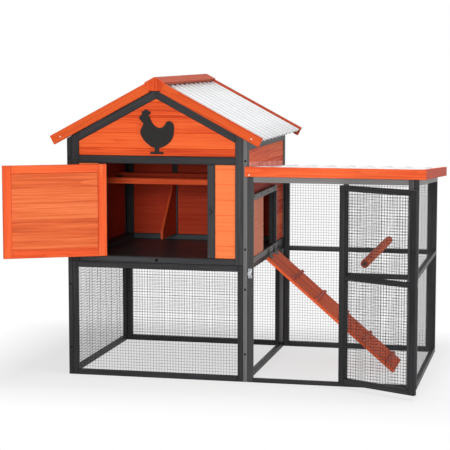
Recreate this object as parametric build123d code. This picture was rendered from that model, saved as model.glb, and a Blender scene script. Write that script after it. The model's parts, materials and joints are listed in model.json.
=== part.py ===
from build123d import *
import math
import os

# All sizes are in millimetres. While building, x runs from the house's left face to the right, y from the
# front face to the back and z up from the ground. The last step moves the whole to its bottom centre.

# House
house_width = 812.0
house_depth = 880.0
panel_thick = 20.0
post_wide = 35.0
slim_wide = 24.0
mullion_wide = 34.0
side_board_wide = 89.0
ground_rail_high = 24.0
mesh_high = 460.0
lower_rail_high = 26.0
tray_high = 27.0
doorway_high = 408.0
cross_rail_high = 34.0
boards_over_door = 63.0
wall_top_rail_high = 43.8
rake_rail_wide = 36.0
back_mullion_in = 197.0
back_mullion_wide = 28.0
mullion_foot_gap = 1.0

# Boards
board_thick = 10.0
board_set_back = 5.0
board_face = 67.0
board_vee = 2.0
gable_first_course = 33.0
side_first_course = 54.0
tongue_thick = 3.0
tongue_high = 5.0
tongue_slack = 0.25

# House roof
roof_pitch = 28.1
barge_wide = 42.0
barge_thick = 18.0
front_overhang = 8.0
back_overhang = 48.0
eave_overhang = 70.0
cap_wide = 49.0
cap_rise = 4.6
end_block_drop = 36.0
purlin_wide = 24.0
purlin_high = 20.0
sheet_thick = 1.2
wave_deep = 14.0
wave_pitch = 89.0
ridge_gap = 3.0
sheet_end_gap = 4.0

# Hen silhouette on the gable
hen_wide = 160.0
hen_high = 196.0
hen_thick = 6.0
hen_above_rail = 9.0

# Hinges, shared by both doors and the ramp
pin_radius = 2.5
running_fit = 0.05
press_fit = 0.02
knuckle_radius = 4.5
pin_stand_off = 5.0
leaf_thick = 2.0
leaf_wide = 18.0
hinge_high = 60.0
knuckle_gap = 0.4
leaf_from_pin = 5.4

# Doors
door_gap = 2.0
door_floor_gap = 3.0
door_stile_wide = 37.0
door_rail_high = 35.0
front_door_open = 153.0
run_door_stile_wide = 28.0
run_door_rail_high = 24.0
run_door_mid_rail_z = 468.0
run_door_mid_rail_high = 21.0
run_door_open = 152.0
hinge_inset = 110.0

# Bolts
bolt_radius = 4.0
bolt_long = 84.0
bolt_axis_out = 7.5
bolt_back_set = 4.0
bolt_plate_long = 52.0
bolt_plate_high = 26.0
bolt_plate_thick = 1.5
bolt_guide_long = 12.0
bolt_guide_high = 15.0
bolt_guide_deep = 14.0
knob_radius = 3.0
knob_long = 12.0
keeper_long = 16.0
keeper_high = 41.0
keeper_bore = 5.0

# Tray and what it slides on
tray_gap = 1.0
tray_wall = 2.0
tray_pan_drop = 3.0
tray_back_gap = 5.0
finger_hole_radius = 7.0
runner_ledge = 20.0

# Roosts and nest
roost_wide = 34.0
roost_high = 28.0
roost_over_floor = 283.0
roosts_at = (0.49, 0.84)
roost_round = 6.0
roost_end_gap = 2.0
bracket_wall = 6.0
bracket_deep = 26.0
bracket_slack = 0.5
divider_thick = 12.0
divider_gap = 3.0
divider_deep = 251.0
divider_lip = 40.0
divider_back_high = 298.0

# Pop hole, its slide door and the ramp
pop_hole_in = 284.0
pop_hole_wide = 268.0
pop_hole_high = 253.0
jamb_wide = 26.0
pop_panel_thick = 8.0
pop_panel_wide = 280.0
pop_panel_in = 2.0
track_out = 14.0
track_lip = 4.5
track_lip_high = 3.0
track_end_gap = 2.0
track_past_hole = 24.0
track_stop_wide = 18.0
track_high = 22.0
track_groove = 8.0
track_slack = 1.0
ramp_wide = 262.0
ramp_foot_gap = 120.0
ramp_thick = 12.0
ramp_start = 8.0
ramp_to_back = 29.0
ramp_hinge_drop = 24.0
cleat_wide = 15.0
cleat_high = 9.0
cleat_count = 5
cleat_first = 150.0
cleat_last = 56.0
ramp_hinge_high = 50.0

# Run
run_length = 734.0
run_doorway_wide = 390.0
run_post_wide = 22.0
run_sill_high = 18.0
run_top_over_pop = 116.0
run_top_rail_high = 34.0
run_slope = 0.0617
run_mid_rail_z = 472.0
run_mid_rail_high = 21.0
run_back_overhang = 135.0
run_sheet_gap = 2.0
fascia_thick = 18.0
fascia_drop = 8.0
fascia_end_gap = 13.0
fascia_overlap = 10.0
batten_wide = 20.0
batten_high = 20.0
perch_radius = 18.0
perch_at = 0.28
perch_over_rail = 62.0
washer_radius = 16.0
washer_thick = 1.5
washer_head_radius = 6.0
washer_head_high = 4.0

# Wire, drawn coarse: a net stands for welded mesh
net_pitch = 50.8
net_wire = 2.0

# Screw heads; heights are shares of the door top and of the run's front
screw_radius = 4.0
screw_high = 1.5
house_screws_z = (122.85, 406.35, 582.0)
top_screw_over_run = 58.0
run_screws_at = (0.12, 0.5, 0.9)
barge_screw_inset = 42.0
barge_screw_drop = 25.0

# How far a cutting shape runs past what it cuts
over = 1.0

# Derived positions
house_mid = house_width / 2
lower_top_z = ground_rail_high + mesh_high
tray_z = lower_top_z + lower_rail_high
floor_z = tray_z + tray_high
door_top_z = floor_z + doorway_high
gable_z = door_top_z + cross_rail_high
slope_tan = math.tan(math.radians(roof_pitch))
slope_cos = math.cos(math.radians(roof_pitch))
slope_sin = math.sin(math.radians(roof_pitch))
side_boards_high = doorway_high + boards_over_door
rafter_top_z = floor_z + side_boards_high + wall_top_rail_high + slope_tan * house_mid
ridge_line_z = rafter_top_z + barge_wide / slope_cos
rake_drop = rake_rail_wide / slope_cos
sheet_top_n = purlin_high + wave_deep - barge_wide
post_x = panel_thick + post_wide
mullion_x = post_x + side_board_wide
doorway_x = mullion_x + mullion_wide
run_x = house_width
run_end_x = run_x + run_length
run_inner_x = run_end_x - panel_thick
run_door_x = run_x + slim_wide
run_post_x = run_door_x + run_doorway_wide
run_bay_x = run_post_x + run_post_wide
run_top_z = floor_z + pop_hole_high + run_top_over_pop
run_top_rail_z = run_top_z - run_top_rail_high
leaf_mid = pin_stand_off - leaf_thick
back_mullion_x = post_x + back_mullion_in
roost_z = floor_z + roost_over_floor
roost_y = [house_depth * share for share in roosts_at]
pop_hole_y = (panel_thick + pop_hole_in, panel_thick + pop_hole_in + pop_hole_wide)
pop_panel_front_y = panel_thick + pop_panel_in
track_back_y = pop_hole_y[1] + track_past_hole
run_sheet_back = house_depth + run_back_overhang
perch_x = run_bay_x + perch_at * (run_inner_x - slim_wide - run_bay_x)
perch_z = run_mid_rail_z + perch_over_rail


def box(x0, x1, y0, y1, z0, z1):
    corner = (Align.MIN, Align.MIN, Align.MIN)
    return (Pos(x0, y0, z0) * Box(x1 - x0, y1 - y0, z1 - z0, align=corner)).solid()


def prism(points, along, start, stop):
    if along == "x":
        corners = [(start, a, b) for a, b in points]
        travel = Vector(stop - start, 0, 0)
    elif along == "y":
        corners = [(a, start, b) for a, b in points]
        travel = Vector(0, stop - start, 0)
    else:
        corners = [(a, b, start) for a, b in points]
        travel = Vector(0, 0, stop - start)
    return Solid.extrude(Face(Wire.make_polygon(corners, close=True)), travel)


def rod(start, direction, radius, length):
    plane = Plane(origin=start, z_dir=direction)
    return Solid.make_cylinder(radius, length, plane)


def mirrored(solid):
    return solid.mirror(Plane.YZ.offset(house_mid))


def both_sides(solids):
    return solids + [mirrored(solid) for solid in solids]


def rafter_z(x):
    return rafter_top_z - slope_tan * abs(x - house_mid)


def on_slope(s, n):
    x = house_mid + s * slope_cos + n * slope_sin
    return x, ridge_line_z - s * slope_sin + n * slope_cos


def on_run_slope(y):
    return run_top_z - run_slope * y


# A net is one flat sheet with open cells, standing across y or across x. Its top edge is z1 high at a0 and
# far_z1 at a1, so a net under a sloping rail reaches the rail all along
def net(a0, a1, z0, z1, across, middle, far_z1=None):
    fall = 0 if far_z1 is None else z1 - far_z1
    columns = max(1, round((a1 - a0) / net_pitch))
    rows = max(1, round((z1 - z0) / net_pitch))
    step = (a1 - a0 - net_wire) / columns
    face_at = middle - net_wire / 2

    def ring(corners):
        if across == "y":
            return Wire.make_polygon([(p, face_at, q) for p, q in corners], close=True)
        return Wire.make_polygon([(face_at, p, q) for p, q in corners], close=True)

    def top_at(a):
        return z1 - fall * (a - a0) / (a1 - a0)

    def wire_z(a, row):
        return z0 + (top_at(a) - net_wire - z0) * row / rows

    gaps = []
    for i in range(columns):
        left = a0 + net_wire + i * step
        right = left + step - net_wire
        for j in range(rows):
            gaps.append(ring([(left, wire_z(left, j) + net_wire), (right, wire_z(right, j) + net_wire),
                              (right, wire_z(right, j + 1)), (left, wire_z(left, j + 1))]))
    travel = Vector(0, net_wire, 0) if across == "y" else Vector(net_wire, 0, 0)
    outline = ring([(a0, z0), (a1, z0), (a1, top_at(a1)), (a0, top_at(a0))])
    return Solid.extrude(Face(outline, gaps), travel)


# Section of one tongued board: first value is depth from the outer face, second is height
def board_section(low, high, has_groove, has_tongue):
    mid = board_thick / 2
    wide = tongue_thick / 2 + tongue_slack
    deep = tongue_high + tongue_slack
    section = [(0, low + board_vee), (board_vee, low)]
    if has_groove:
        section += [(mid - wide, low), (mid - wide, low + deep), (mid + wide, low + deep), (mid + wide, low)]
    section += [(board_thick, low), (board_thick, high)]
    if has_tongue:
        slim = tongue_thick / 2
        top = high + tongue_high
        section += [(mid + slim, high), (mid + slim, top), (mid - slim, top), (mid - slim, high)]
    return section + [(board_vee, high), (0, high - board_vee)]


# Boards stacked from low to high; outer is the position of their outer face, inward its direction
def boards(start, stop, low, high, along, outer, inward, first=None):
    if first is None:
        count = max(1, round((high - low) / board_face))
        edges = [low + (high - low) * i / count for i in range(count + 1)]
    else:
        edges = [low, low + first]
        while edges[-1] + board_face + 2 * tongue_high < high:
            edges.append(edges[-1] + board_face)
        edges.append(high)
    last = len(edges) - 2
    made = []
    for i in range(last + 1):
        section = board_section(edges[i], edges[i + 1], i > 0, i < last)
        profile = [(outer + inward * deep, high_at) for deep, high_at in section]
        made.append(prism(profile, along, start, stop))
    return made


def corrugated(waves, length, width):
    step = width / waves / 2
    swing = (wave_deep - sheet_thick) / 2
    upper = []
    lower = []
    for i in range(2 * waves):
        peak = swing if i % 2 == 0 else -swing
        a = i * step
        for edges, base in ((upper, wave_deep - swing), (lower, wave_deep - swing - sheet_thick)):
            ends = (a, 0, base), (a + step / 2, 0, base + peak), (a + step, 0, base)
            edges.append(Edge.make_three_point_arc(*ends))
    ends = [Edge.make_line(lower[0] @ 0, upper[0] @ 0), Edge.make_line(lower[-1] @ 1, upper[-1] @ 1)]
    return Solid.extrude(Face(Wire(upper + lower + ends)), Vector(0, length, 0))


# Half a butt hinge about the local z axis. The leaf lies toward +x with the timber beyond y = pin_stand_off
def hinge_half(high, moving):
    third = high / 3
    if moving:
        spans = [(third + knuckle_gap, 2 * third - knuckle_gap)]
        bore = pin_radius + running_fit
    else:
        spans = [(0, third), (2 * third, high)]
        bore = pin_radius + press_fit
    leaf = box(leaf_from_pin, leaf_from_pin + leaf_wide, leaf_mid, pin_stand_off, 0, high)
    for low, top in spans:
        barrel = rod((0, 0, low), (0, 0, 1), knuckle_radius, top - low)
        neck = box(0, leaf_from_pin + over, leaf_mid, pin_stand_off, low, top)
        leaf = leaf.fuse(barrel, neck)
    return leaf.cut(rod((0, 0, -over), (0, 0, 1), bore, high + 2 * over)).solid()


def hinge_pin(high):
    return rod((0, 0, 0), (0, 0, 1), pin_radius, high)


def placed(solid, origin, x_dir, z_dir):
    return solid.moved(Plane(origin=origin, x_dir=x_dir, z_dir=z_dir).location)


# A bolt lies on a face at y = 0 and moves toward way (+1 or -1 along x); edge is the door's free edge
def bolt_housing(edge, way, z):
    start = edge - way * (bolt_back_set + bolt_plate_long)
    near = edge - way * bolt_back_set
    plate = box(min(start, near), max(start, near), -bolt_plate_thick, 0,
                z - bolt_plate_high / 2, z + bolt_plate_high / 2)
    for end in (start, near - way * bolt_guide_long):
        far = end + way * bolt_guide_long
        guide = box(min(end, far), max(end, far), -bolt_guide_deep, -bolt_plate_thick,
                    z - bolt_guide_high / 2, z + bolt_guide_high / 2)
        plate = plate.fuse(guide)
    bore = rod((start - way * over, -bolt_axis_out, z), (way, 0, 0), bolt_radius + running_fit,
               bolt_plate_long + 2 * over)
    return plate.cut(bore).solid()


def bolt_rod(edge, way, z):
    tip = edge - way * bolt_back_set
    start = tip - way * bolt_long
    shaft = rod((start, -bolt_axis_out, z), (way, 0, 0), bolt_radius, bolt_long)
    knob_at = (start + way * knob_radius * 2, -bolt_axis_out, z)
    knob = rod(knob_at, (0, -1, 0), knob_radius, bolt_radius + knob_long)
    return shaft.fuse(knob).solid()


def bolt_keeper(post_edge, way, z):
    start = post_edge + way * bolt_back_set
    far = start + way * keeper_long
    half = keeper_high / 2
    plate = box(min(start, far), max(start, far), -bolt_plate_thick, 0, z - half, z + half)
    loop = box(min(start, far), max(start, far), -bolt_guide_deep, -bolt_plate_thick,
               z - bolt_guide_high / 2, z + bolt_guide_high / 2)
    bore = rod((start - way * over, -bolt_axis_out, z), (way, 0, 0), keeper_bore, keeper_long + 2 * over)
    return plate.fuse(loop).cut(bore).solid()


# Side walls of the house, the left one first
def wall_timbers():
    def top_of(low):
        return [(0, low), (panel_thick, low), (panel_thick, rafter_z(panel_thick)), (0, rafter_z(0))]

    back = house_depth - post_wide
    top_rail_z = floor_z + side_boards_high
    return [
        prism(top_of(0), "y", 0, post_wide),
        prism(top_of(0), "y", back, house_depth),
        prism(top_of(top_rail_z), "y", post_wide, back),
        box(0, panel_thick, post_wide, back, 0, ground_rail_high),
        box(0, panel_thick, post_wide, back, lower_top_z, floor_z),
    ]


def left_wall_boards():
    top = floor_z + side_boards_high
    return boards(post_wide, house_depth - post_wide, floor_z, top, "y", board_set_back, 1)


def left_wall_mesh():
    middle = panel_thick / 2
    return [net(post_wide, house_depth - post_wide, ground_rail_high, lower_top_z, "x", middle)]


# Jambs stand on both sides of the pop hole
def right_wall_timbers():
    x0 = house_width - panel_thick
    starts = (pop_hole_y[0] - jamb_wide, pop_hole_y[1])
    jambs = [box(x0, house_width, y, y + jamb_wide, floor_z, floor_z + pop_hole_high) for y in starts]
    return [mirrored(timber) for timber in wall_timbers()] + jambs


def right_wall_boards():
    outer = house_width - board_set_back
    back = house_depth - post_wide
    lintel_z = floor_z + pop_hole_high
    top = floor_z + side_boards_high
    return (boards(post_wide, pop_hole_y[0] - jamb_wide, floor_z, lintel_z, "y", outer, -1)
            + boards(pop_hole_y[1] + jamb_wide, back, floor_z, lintel_z, "y", outer, -1)
            + boards(post_wide, back, lintel_z, top, "y", outer, -1))


def lower_timbers(y0):
    left = panel_thick
    right = house_width - panel_thick
    y1 = y0 + panel_thick
    return [
        box(left, left + slim_wide, y0, y1, 0, tray_z),
        box(right - slim_wide, right, y0, y1, 0, tray_z),
        box(left + slim_wide, right - slim_wide, y0, y1, 0, ground_rail_high),
        box(left + slim_wide, right - slim_wide, y0, y1, lower_top_z, tray_z),
    ]


def lower_mesh(y0):
    left = panel_thick + slim_wide
    return [net(left, house_width - left, ground_rail_high, lower_top_z, "y", y0 + panel_thick / 2)]


def stile_and_rake(y0):
    left = panel_thick
    stile = [(left, tray_z), (post_x, tray_z), (post_x, rafter_z(post_x)), (left, rafter_z(left))]
    rake = [
        (post_x, rafter_z(post_x) - rake_drop),
        (house_mid, rafter_top_z - rake_drop),
        (house_mid, rafter_top_z),
        (post_x, rafter_z(post_x)),
    ]
    y1 = y0 + panel_thick
    return both_sides([prism(stile, "y", y0, y1), prism(rake, "y", y0, y1)])


def front_upper_timbers():
    gap_z = floor_z + mullion_foot_gap
    mullion = box(mullion_x, doorway_x, 0, panel_thick, gap_z, door_top_z)
    cross = box(post_x, house_width - post_x, 0, panel_thick, door_top_z, gable_z)
    return stile_and_rake(0) + both_sides([mullion]) + [cross]


def back_upper_timbers():
    y0 = house_depth - panel_thick
    right = house_width - post_x
    mullion = box(back_mullion_x, back_mullion_x + back_mullion_wide, y0, house_depth, floor_z, door_top_z)
    return stile_and_rake(y0) + both_sides([mullion]) + [
        box(post_x, right, y0, house_depth, tray_z, floor_z),
        box(post_x, right, y0, house_depth, door_top_z, gable_z),
    ]


# Boards that fill the gable under the raking rails
def gable_boards(outer, inward):
    top = rafter_top_z - rake_drop
    low_side = rafter_z(post_x) - rake_drop
    outline = [(post_x, gable_z), (house_width - post_x, gable_z), (house_width - post_x, low_side),
               (house_mid, top), (post_x, low_side)]
    field = prism(outline, "y", outer, outer + inward * board_thick)
    made = []
    edges = [gable_z, gable_z + gable_first_course]
    while edges[-1] < top:
        edges.append(edges[-1] + board_face)
    for i in range(len(edges) - 1):
        section = board_section(edges[i], edges[i + 1], i > 0, True)
        profile = [(outer + inward * deep, high_at) for deep, high_at in section]
        plank = prism(profile, "x", post_x, house_width - post_x)
        made += plank.intersect(field).solids()
    return made


def front_boards():
    gap_z = floor_z + mullion_foot_gap
    side = boards(post_x, mullion_x, gap_z, door_top_z, "x", board_set_back, 1, side_first_course)
    return both_sides(side) + gable_boards(board_set_back, 1)


def back_boards():
    outer = house_depth - board_set_back
    side = boards(post_x, back_mullion_x, floor_z, door_top_z, "x", outer, -1)
    inner = back_mullion_x + back_mullion_wide
    middle = boards(inner, house_width - inner, floor_z, door_top_z, "x", outer, -1)
    return both_sides(side) + middle + gable_boards(outer, -1)


# A plain hen, facing left, standing on a short foot. Its outline is one closed curve and a three-lobed comb
def hen_plaque():
    outline = [(0.03, 0.80), (0.12, 0.88), (0.24, 0.90), (0.33, 0.80), (0.42, 0.66), (0.58, 0.58),
               (0.72, 0.62), (0.84, 0.73), (0.95, 0.70), (1.00, 0.53), (0.95, 0.34), (0.80, 0.21),
               (0.62, 0.14), (0.44, 0.14), (0.27, 0.22), (0.12, 0.35), (0.07, 0.53), (0.13, 0.71)]
    left = house_mid - hen_wide / 2
    y0 = board_set_back - hen_thick
    hen_base_z = gable_z + hen_above_rail

    def point(u, v):
        return Vector(left + u * hen_wide, y0, hen_base_z + v * hen_high)

    curve = Edge.make_spline([point(u, v) for u, v in outline], periodic=True)
    travel = Vector(0, hen_thick, 0)
    hen = Solid.extrude(Face(Wire([curve])), travel)
    for u, v, radius in ((0.15, 0.91, 8.0), (0.22, 0.94, 9.0), (0.30, 0.91, 8.0), (0.13, 0.73, 7.0)):
        hen = hen.fuse(rod(point(u, v), (0, 1, 0), radius, hen_thick))
    stem = box(left + 0.46 * hen_wide, left + 0.58 * hen_wide, y0, y0 + hen_thick,
               hen_base_z, hen_base_z + 0.2 * hen_high)
    foot = box(left + 0.34 * hen_wide, left + 0.70 * hen_wide, y0, y0 + hen_thick,
               hen_base_z, hen_base_z + 0.05 * hen_high)
    return [hen.fuse(stem, foot).solid()]


# Roof of the house; s runs down the right slope from the ridge, n stands off it
roof_front_y = -front_overhang
roof_back_y = house_depth + back_overhang
barge_end_s = (house_mid + eave_overhang) / slope_cos
sheet_start_s = (barge_wide - purlin_high) * slope_tan + ridge_gap


def slope_prism(corners, y0, y1):
    return prism([on_slope(s, n) for s, n in corners], "y", y0, y1)


def roof_sheet():
    width = roof_back_y - roof_front_y
    length = barge_end_s - sheet_end_gap - sheet_start_s
    sheet = corrugated(round(width / wave_pitch), length, width)
    x, z = on_slope(sheet_start_s, purlin_high - barge_wide)
    return placed(sheet, (x, roof_back_y, z), (0, -1, 0), (slope_sin, 0, slope_cos))


def roof_purlins():
    wall_s = (house_mid - panel_thick / 2) / slope_cos - purlin_wide / 2
    ridge_s = barge_wide * slope_tan + ridge_gap
    starts = (ridge_s, (ridge_s + wall_s) / 2, wall_s)
    low = -barge_wide
    high = purlin_high - barge_wide
    made = []
    for s in starts:
        corners = [(s, low), (s + purlin_wide, low), (s + purlin_wide, high), (s, high)]
        made.append(slope_prism(corners, roof_front_y, roof_back_y))
    return both_sides(made)


def bargeboards(y0):
    corners = [(cap_wide, -barge_wide), (barge_end_s, -barge_wide), (barge_end_s, 0), (cap_wide, 0)]
    return both_sides([slope_prism(corners, y0, y0 + barge_thick)])


def ridge_cap():
    low = sheet_top_n
    corners = [(-low * slope_tan, low), (cap_wide, low), (cap_wide, cap_rise),
               (-cap_rise * slope_tan, cap_rise)]
    return both_sides([slope_prism(corners, roof_front_y, roof_back_y)])


def ridge_end_block(y0):
    right = [on_slope(cap_wide, cap_rise), on_slope(cap_wide, -end_block_drop)]
    left = [(house_width - x, z) for x, z in reversed(right)]
    return prism([on_slope(-cap_rise * slope_tan, cap_rise)] + right + left, "y", y0, y0 + barge_thick)


# Tray that slides out under the house floor
def tray_pan():
    x0 = post_x + 2 * tray_gap
    x1 = house_width - x0
    y0 = panel_thick
    y1 = house_depth - panel_thick - tray_back_gap
    z0 = tray_z + tray_gap
    z1 = floor_z - tray_pan_drop
    outer = box(x0, x1, y0, y1, z0, z1)
    inner = box(x0 + tray_wall, x1 - tray_wall, y0 + tray_wall, y1 - tray_wall, z0 + tray_wall, z1 + over)
    return [outer.cut(inner, finger_hole()).solid()]


def finger_hole():
    start = (house_mid, -over, (tray_z + floor_z) / 2)
    return rod(start, (0, 1, 0), finger_hole_radius, panel_thick + tray_wall + 2 * over)


def tray_front():
    x0 = post_x + tray_gap
    strip = box(x0, house_width - x0, 0, panel_thick, tray_z + tray_gap, floor_z - tray_gap / 2)
    return [strip.cut(finger_hole()).solid()]


def tray_runners():
    y0 = panel_thick
    y1 = house_depth - panel_thick
    ledge = box(panel_thick, post_x + runner_ledge, y0, y1, lower_top_z, tray_z)
    guide = box(panel_thick, post_x, y0, y1, tray_z, floor_z)
    return both_sides([ledge, guide])


def cradle(middle, wall_x, out):
    half = roost_wide / 2 + bracket_slack
    side = half + bracket_wall
    base = roost_z - bracket_wall
    top = roost_z + roost_high / 2
    section = [(middle - side, base), (middle + side, base), (middle + side, top), (middle + half, top),
               (middle + half, roost_z), (middle - half, roost_z), (middle - half, top), (middle - side, top)]
    return prism(section, "x", wall_x, wall_x + out * bracket_deep)


def roost_bars():
    start = board_set_back + board_thick + roost_end_gap
    made = []
    for y in roost_y:
        half = roost_wide / 2
        bar = box(start, house_width - start, y - half, y + half, roost_z, roost_z + roost_high)
        top_edges = bar.edges().filter_by(Axis.X).group_by(Axis.Z)[-1]
        made.append(bar.fillet(roost_round, top_edges))
    return made


def nest_divider():
    x0 = back_mullion_x + (back_mullion_wide - divider_thick) / 2
    back = house_depth - panel_thick
    low = floor_z + divider_gap
    front = back - divider_deep
    section = [(front, low), (back, low), (back, floor_z + divider_back_high), (front, low + divider_lip)]
    return [prism(section, "x", x0, x0 + divider_thick)]


# Pop door in its two tracks, on the outside of the right wall, with a stop where it closes
pop_panel_x = house_width + track_slack
pop_sill_z = floor_z - track_groove
pop_head_z = floor_z + pop_hole_high


def pop_door_tracks():
    x0 = house_width
    x2 = house_width + track_out
    x1 = x2 - track_lip
    low = floor_z - track_high
    lip = floor_z + track_lip_high
    lower = [(x0, low), (x2, low), (x2, lip), (x1, lip), (x1, pop_sill_z), (x0, pop_sill_z)]
    back = house_width - board_set_back
    top = pop_head_z + track_high
    roof = pop_head_z + track_groove
    hang = pop_head_z - track_lip_high
    upper = [(back, pop_head_z), (x0, pop_head_z), (x0, roof), (x1, roof), (x1, hang), (x2, hang), (x2, top),
             (back, top)]
    start = panel_thick + track_end_gap
    stop = box(x0, x2, track_back_y - track_stop_wide, track_back_y, lip, hang)
    return [prism(lower, "y", start, track_back_y), prism(upper, "y", post_wide, track_back_y), stop]


def pop_door_panel():
    y1 = pop_panel_front_y + pop_panel_wide
    return [box(pop_panel_x, pop_panel_x + pop_panel_thick, pop_panel_front_y, y1,
                pop_sill_z + track_slack, pop_head_z + track_groove - track_slack)]


# Ramp, hinged along y under the pop hole, its foot on the ground
ramp_pin_x = house_width + track_out + pin_stand_off
ramp_pin_z = floor_z - ramp_hinge_drop
ramp_under = pin_stand_off + ramp_thick
ramp_reach = run_inner_x - ramp_foot_gap - ramp_pin_x
ramp_long = math.sqrt(ramp_reach ** 2 + ramp_pin_z ** 2 - ramp_under ** 2)
ramp_angle = math.atan2(ramp_pin_z, ramp_reach) - math.atan(ramp_under / ramp_long)
ramp_down = (math.cos(ramp_angle), 0, -math.sin(ramp_angle))
ramp_mid_y = (pop_hole_y[0] + pop_hole_y[1]) / 2 + ramp_to_back
ramp_hinge_y = (ramp_mid_y - ramp_wide / 4, ramp_mid_y + ramp_wide / 4)


def on_ramp(solid):
    plane = Plane(origin=(ramp_pin_x, ramp_mid_y, ramp_pin_z), x_dir=ramp_down,
                  z_dir=(math.sin(ramp_angle), 0, math.cos(ramp_angle)))
    return solid.moved(plane.location)


def ramp_board():
    half = ramp_wide / 2
    return [on_ramp(box(ramp_start, ramp_long, -half, half, -ramp_under, -pin_stand_off))]


def ramp_cleats():
    step = (ramp_long - cleat_first - cleat_last) / (cleat_count - 1)
    half = ramp_wide / 2
    made = []
    for i in range(cleat_count):
        s = cleat_first + i * step
        cleat = box(s, s + cleat_wide, -half, half, -pin_stand_off, cleat_high - pin_stand_off)
        made.append(on_ramp(cleat))
    return made


def ramp_hinges(moving):
    made = []
    for y in ramp_hinge_y:
        half = ramp_hinge_high / 2
        if moving:
            leaf = hinge_half(ramp_hinge_high, True)
            made.append(placed(leaf, (ramp_pin_x, y - half, ramp_pin_z), ramp_down, (0, 1, 0)))
        else:
            frame = (ramp_pin_x, y + half, ramp_pin_z), (0, 0, 1), (0, -1, 0)
            made.append(placed(hinge_half(ramp_hinge_high, False), *frame))
            made.append(placed(hinge_pin(ramp_hinge_high), *frame))
    return made


# Run
def run_front_timbers():
    top = on_run_slope(0)
    inner = on_run_slope(panel_thick)
    cap = [(0, run_top_rail_z), (panel_thick, run_top_rail_z), (panel_thick, inner), (0, top)]
    stile = [(0, 0), (panel_thick, 0), (panel_thick, inner), (0, top)]
    end = run_inner_x - slim_wide
    return [
        prism(stile, "x", run_x, run_door_x),
        prism(stile, "x", end, run_inner_x),
        prism(cap, "x", run_door_x, end),
        box(run_door_x, end, 0, panel_thick, 0, run_sill_high),
        box(run_post_x, run_bay_x, 0, panel_thick, run_sill_high, run_top_rail_z),
        box(run_bay_x, end, 0, panel_thick, run_mid_rail_z, run_mid_rail_z + run_mid_rail_high),
    ]


def run_front_mesh():
    left = run_bay_x
    right = run_inner_x - slim_wide
    middle = panel_thick / 2
    return [net(left, right, run_sill_high, run_mid_rail_z, "y", middle),
            net(left, right, run_mid_rail_z + run_mid_rail_high, run_top_rail_z, "y", middle)]


def run_end_timbers():
    y1 = house_depth
    back = y1 - slim_wide

    def slab(low_front, low_back, y_front, y_back):
        return [(y_front, low_front), (y_back, low_back), (y_back, on_run_slope(y_back)),
                (y_front, on_run_slope(y_front))]

    rail_front = on_run_slope(slim_wide) - run_top_rail_high
    rail = slab(rail_front, on_run_slope(back) - run_top_rail_high, slim_wide, back)
    return [
        prism(slab(0, 0, 0, slim_wide), "x", run_inner_x, run_end_x),
        prism(slab(0, 0, back, y1), "x", run_inner_x, run_end_x),
        prism(rail, "x", run_inner_x, run_end_x),
        box(run_inner_x, run_end_x, slim_wide, back, 0, ground_rail_high),
        box(run_inner_x, run_end_x, slim_wide, back, run_mid_rail_z, run_mid_rail_z + run_mid_rail_high),
    ]


def run_end_mesh():
    back = house_depth - slim_wide
    middle = run_inner_x + panel_thick / 2
    upper_z = run_mid_rail_z + run_mid_rail_high
    front_top = on_run_slope(slim_wide) - run_top_rail_high
    back_top = on_run_slope(back) - run_top_rail_high
    return [net(slim_wide, back, ground_rail_high, run_mid_rail_z, "x", middle),
            net(slim_wide, back, upper_z, front_top, "x", middle, back_top)]


def run_back_timbers():
    y0 = house_depth - panel_thick
    y1 = house_depth
    low = on_run_slope(y1) - run_top_rail_high
    cap = [(y0, low), (y1, low), (y1, on_run_slope(y1)), (y0, on_run_slope(y0))]
    stile = [(y0, 0), (y1, 0), (y1, on_run_slope(y1)), (y0, on_run_slope(y0))]
    end = run_inner_x - slim_wide
    return [
        prism(stile, "x", run_x, run_door_x),
        prism(stile, "x", end, run_inner_x),
        prism(cap, "x", run_door_x, end),
        box(run_door_x, end, y0, y1, 0, ground_rail_high),
        box(run_door_x, end, y0, y1, run_mid_rail_z, run_mid_rail_z + run_mid_rail_high),
    ]


def run_back_mesh():
    end = run_inner_x - slim_wide
    middle = house_depth - panel_thick / 2
    top = on_run_slope(house_depth) - run_top_rail_high
    return [net(run_door_x, end, ground_rail_high, run_mid_rail_z, "y", middle),
            net(run_door_x, end, run_mid_rail_z + run_mid_rail_high, top, "y", middle)]


fascia_x = run_end_x + fascia_end_gap


# Battens lie on the rails of the run, two along the sides and three across between them. The sheet lies on
# those inside the fascia boards, which are as high as its waves
def run_roof_battens():
    def section(y0, y1):
        return [(y0, on_run_slope(y0)), (y1, on_run_slope(y1)), (y1, on_run_slope(y1) + batten_high),
                (y0, on_run_slope(y0) + batten_high)]

    right = fascia_x - batten_wide
    along = [prism(section(0, run_sheet_back), "x", x, x + batten_wide) for x in (run_x, right)]
    starts = (0, (house_depth - batten_wide) / 2, house_depth - batten_wide)
    across = [prism(section(y, y + batten_wide), "x", run_x + batten_wide, right) for y in starts]
    return along + across


def run_fascias():
    low = -fascia_drop
    high = batten_high + wave_deep
    y0 = -fascia_thick
    y1 = run_sheet_back
    end = fascia_x + fascia_thick
    front = [(y0, on_run_slope(0) + low), (0, on_run_slope(0) + low), (0, on_run_slope(0) + high),
             (y0, on_run_slope(y0) + high)]
    side = [(0, on_run_slope(0) + low), (y1, on_run_slope(y1) + low), (y1, on_run_slope(y1) + high),
            (0, on_run_slope(0) + high)]
    return [prism(front, "x", run_x - fascia_overlap, end), prism(side, "x", fascia_x, end)]


def run_roof_sheet():
    x0 = run_x + run_sheet_gap
    y0 = run_sheet_gap
    width = fascia_x - run_sheet_gap - x0
    length = (run_sheet_back - y0) * math.hypot(1, run_slope)
    sheet = corrugated(round(width / wave_pitch), length, width)
    tilt = math.degrees(math.atan(run_slope))
    return [sheet.moved(Location((x0, y0, on_run_slope(y0) + batten_high), (-tilt, 0, 0)))]


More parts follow.
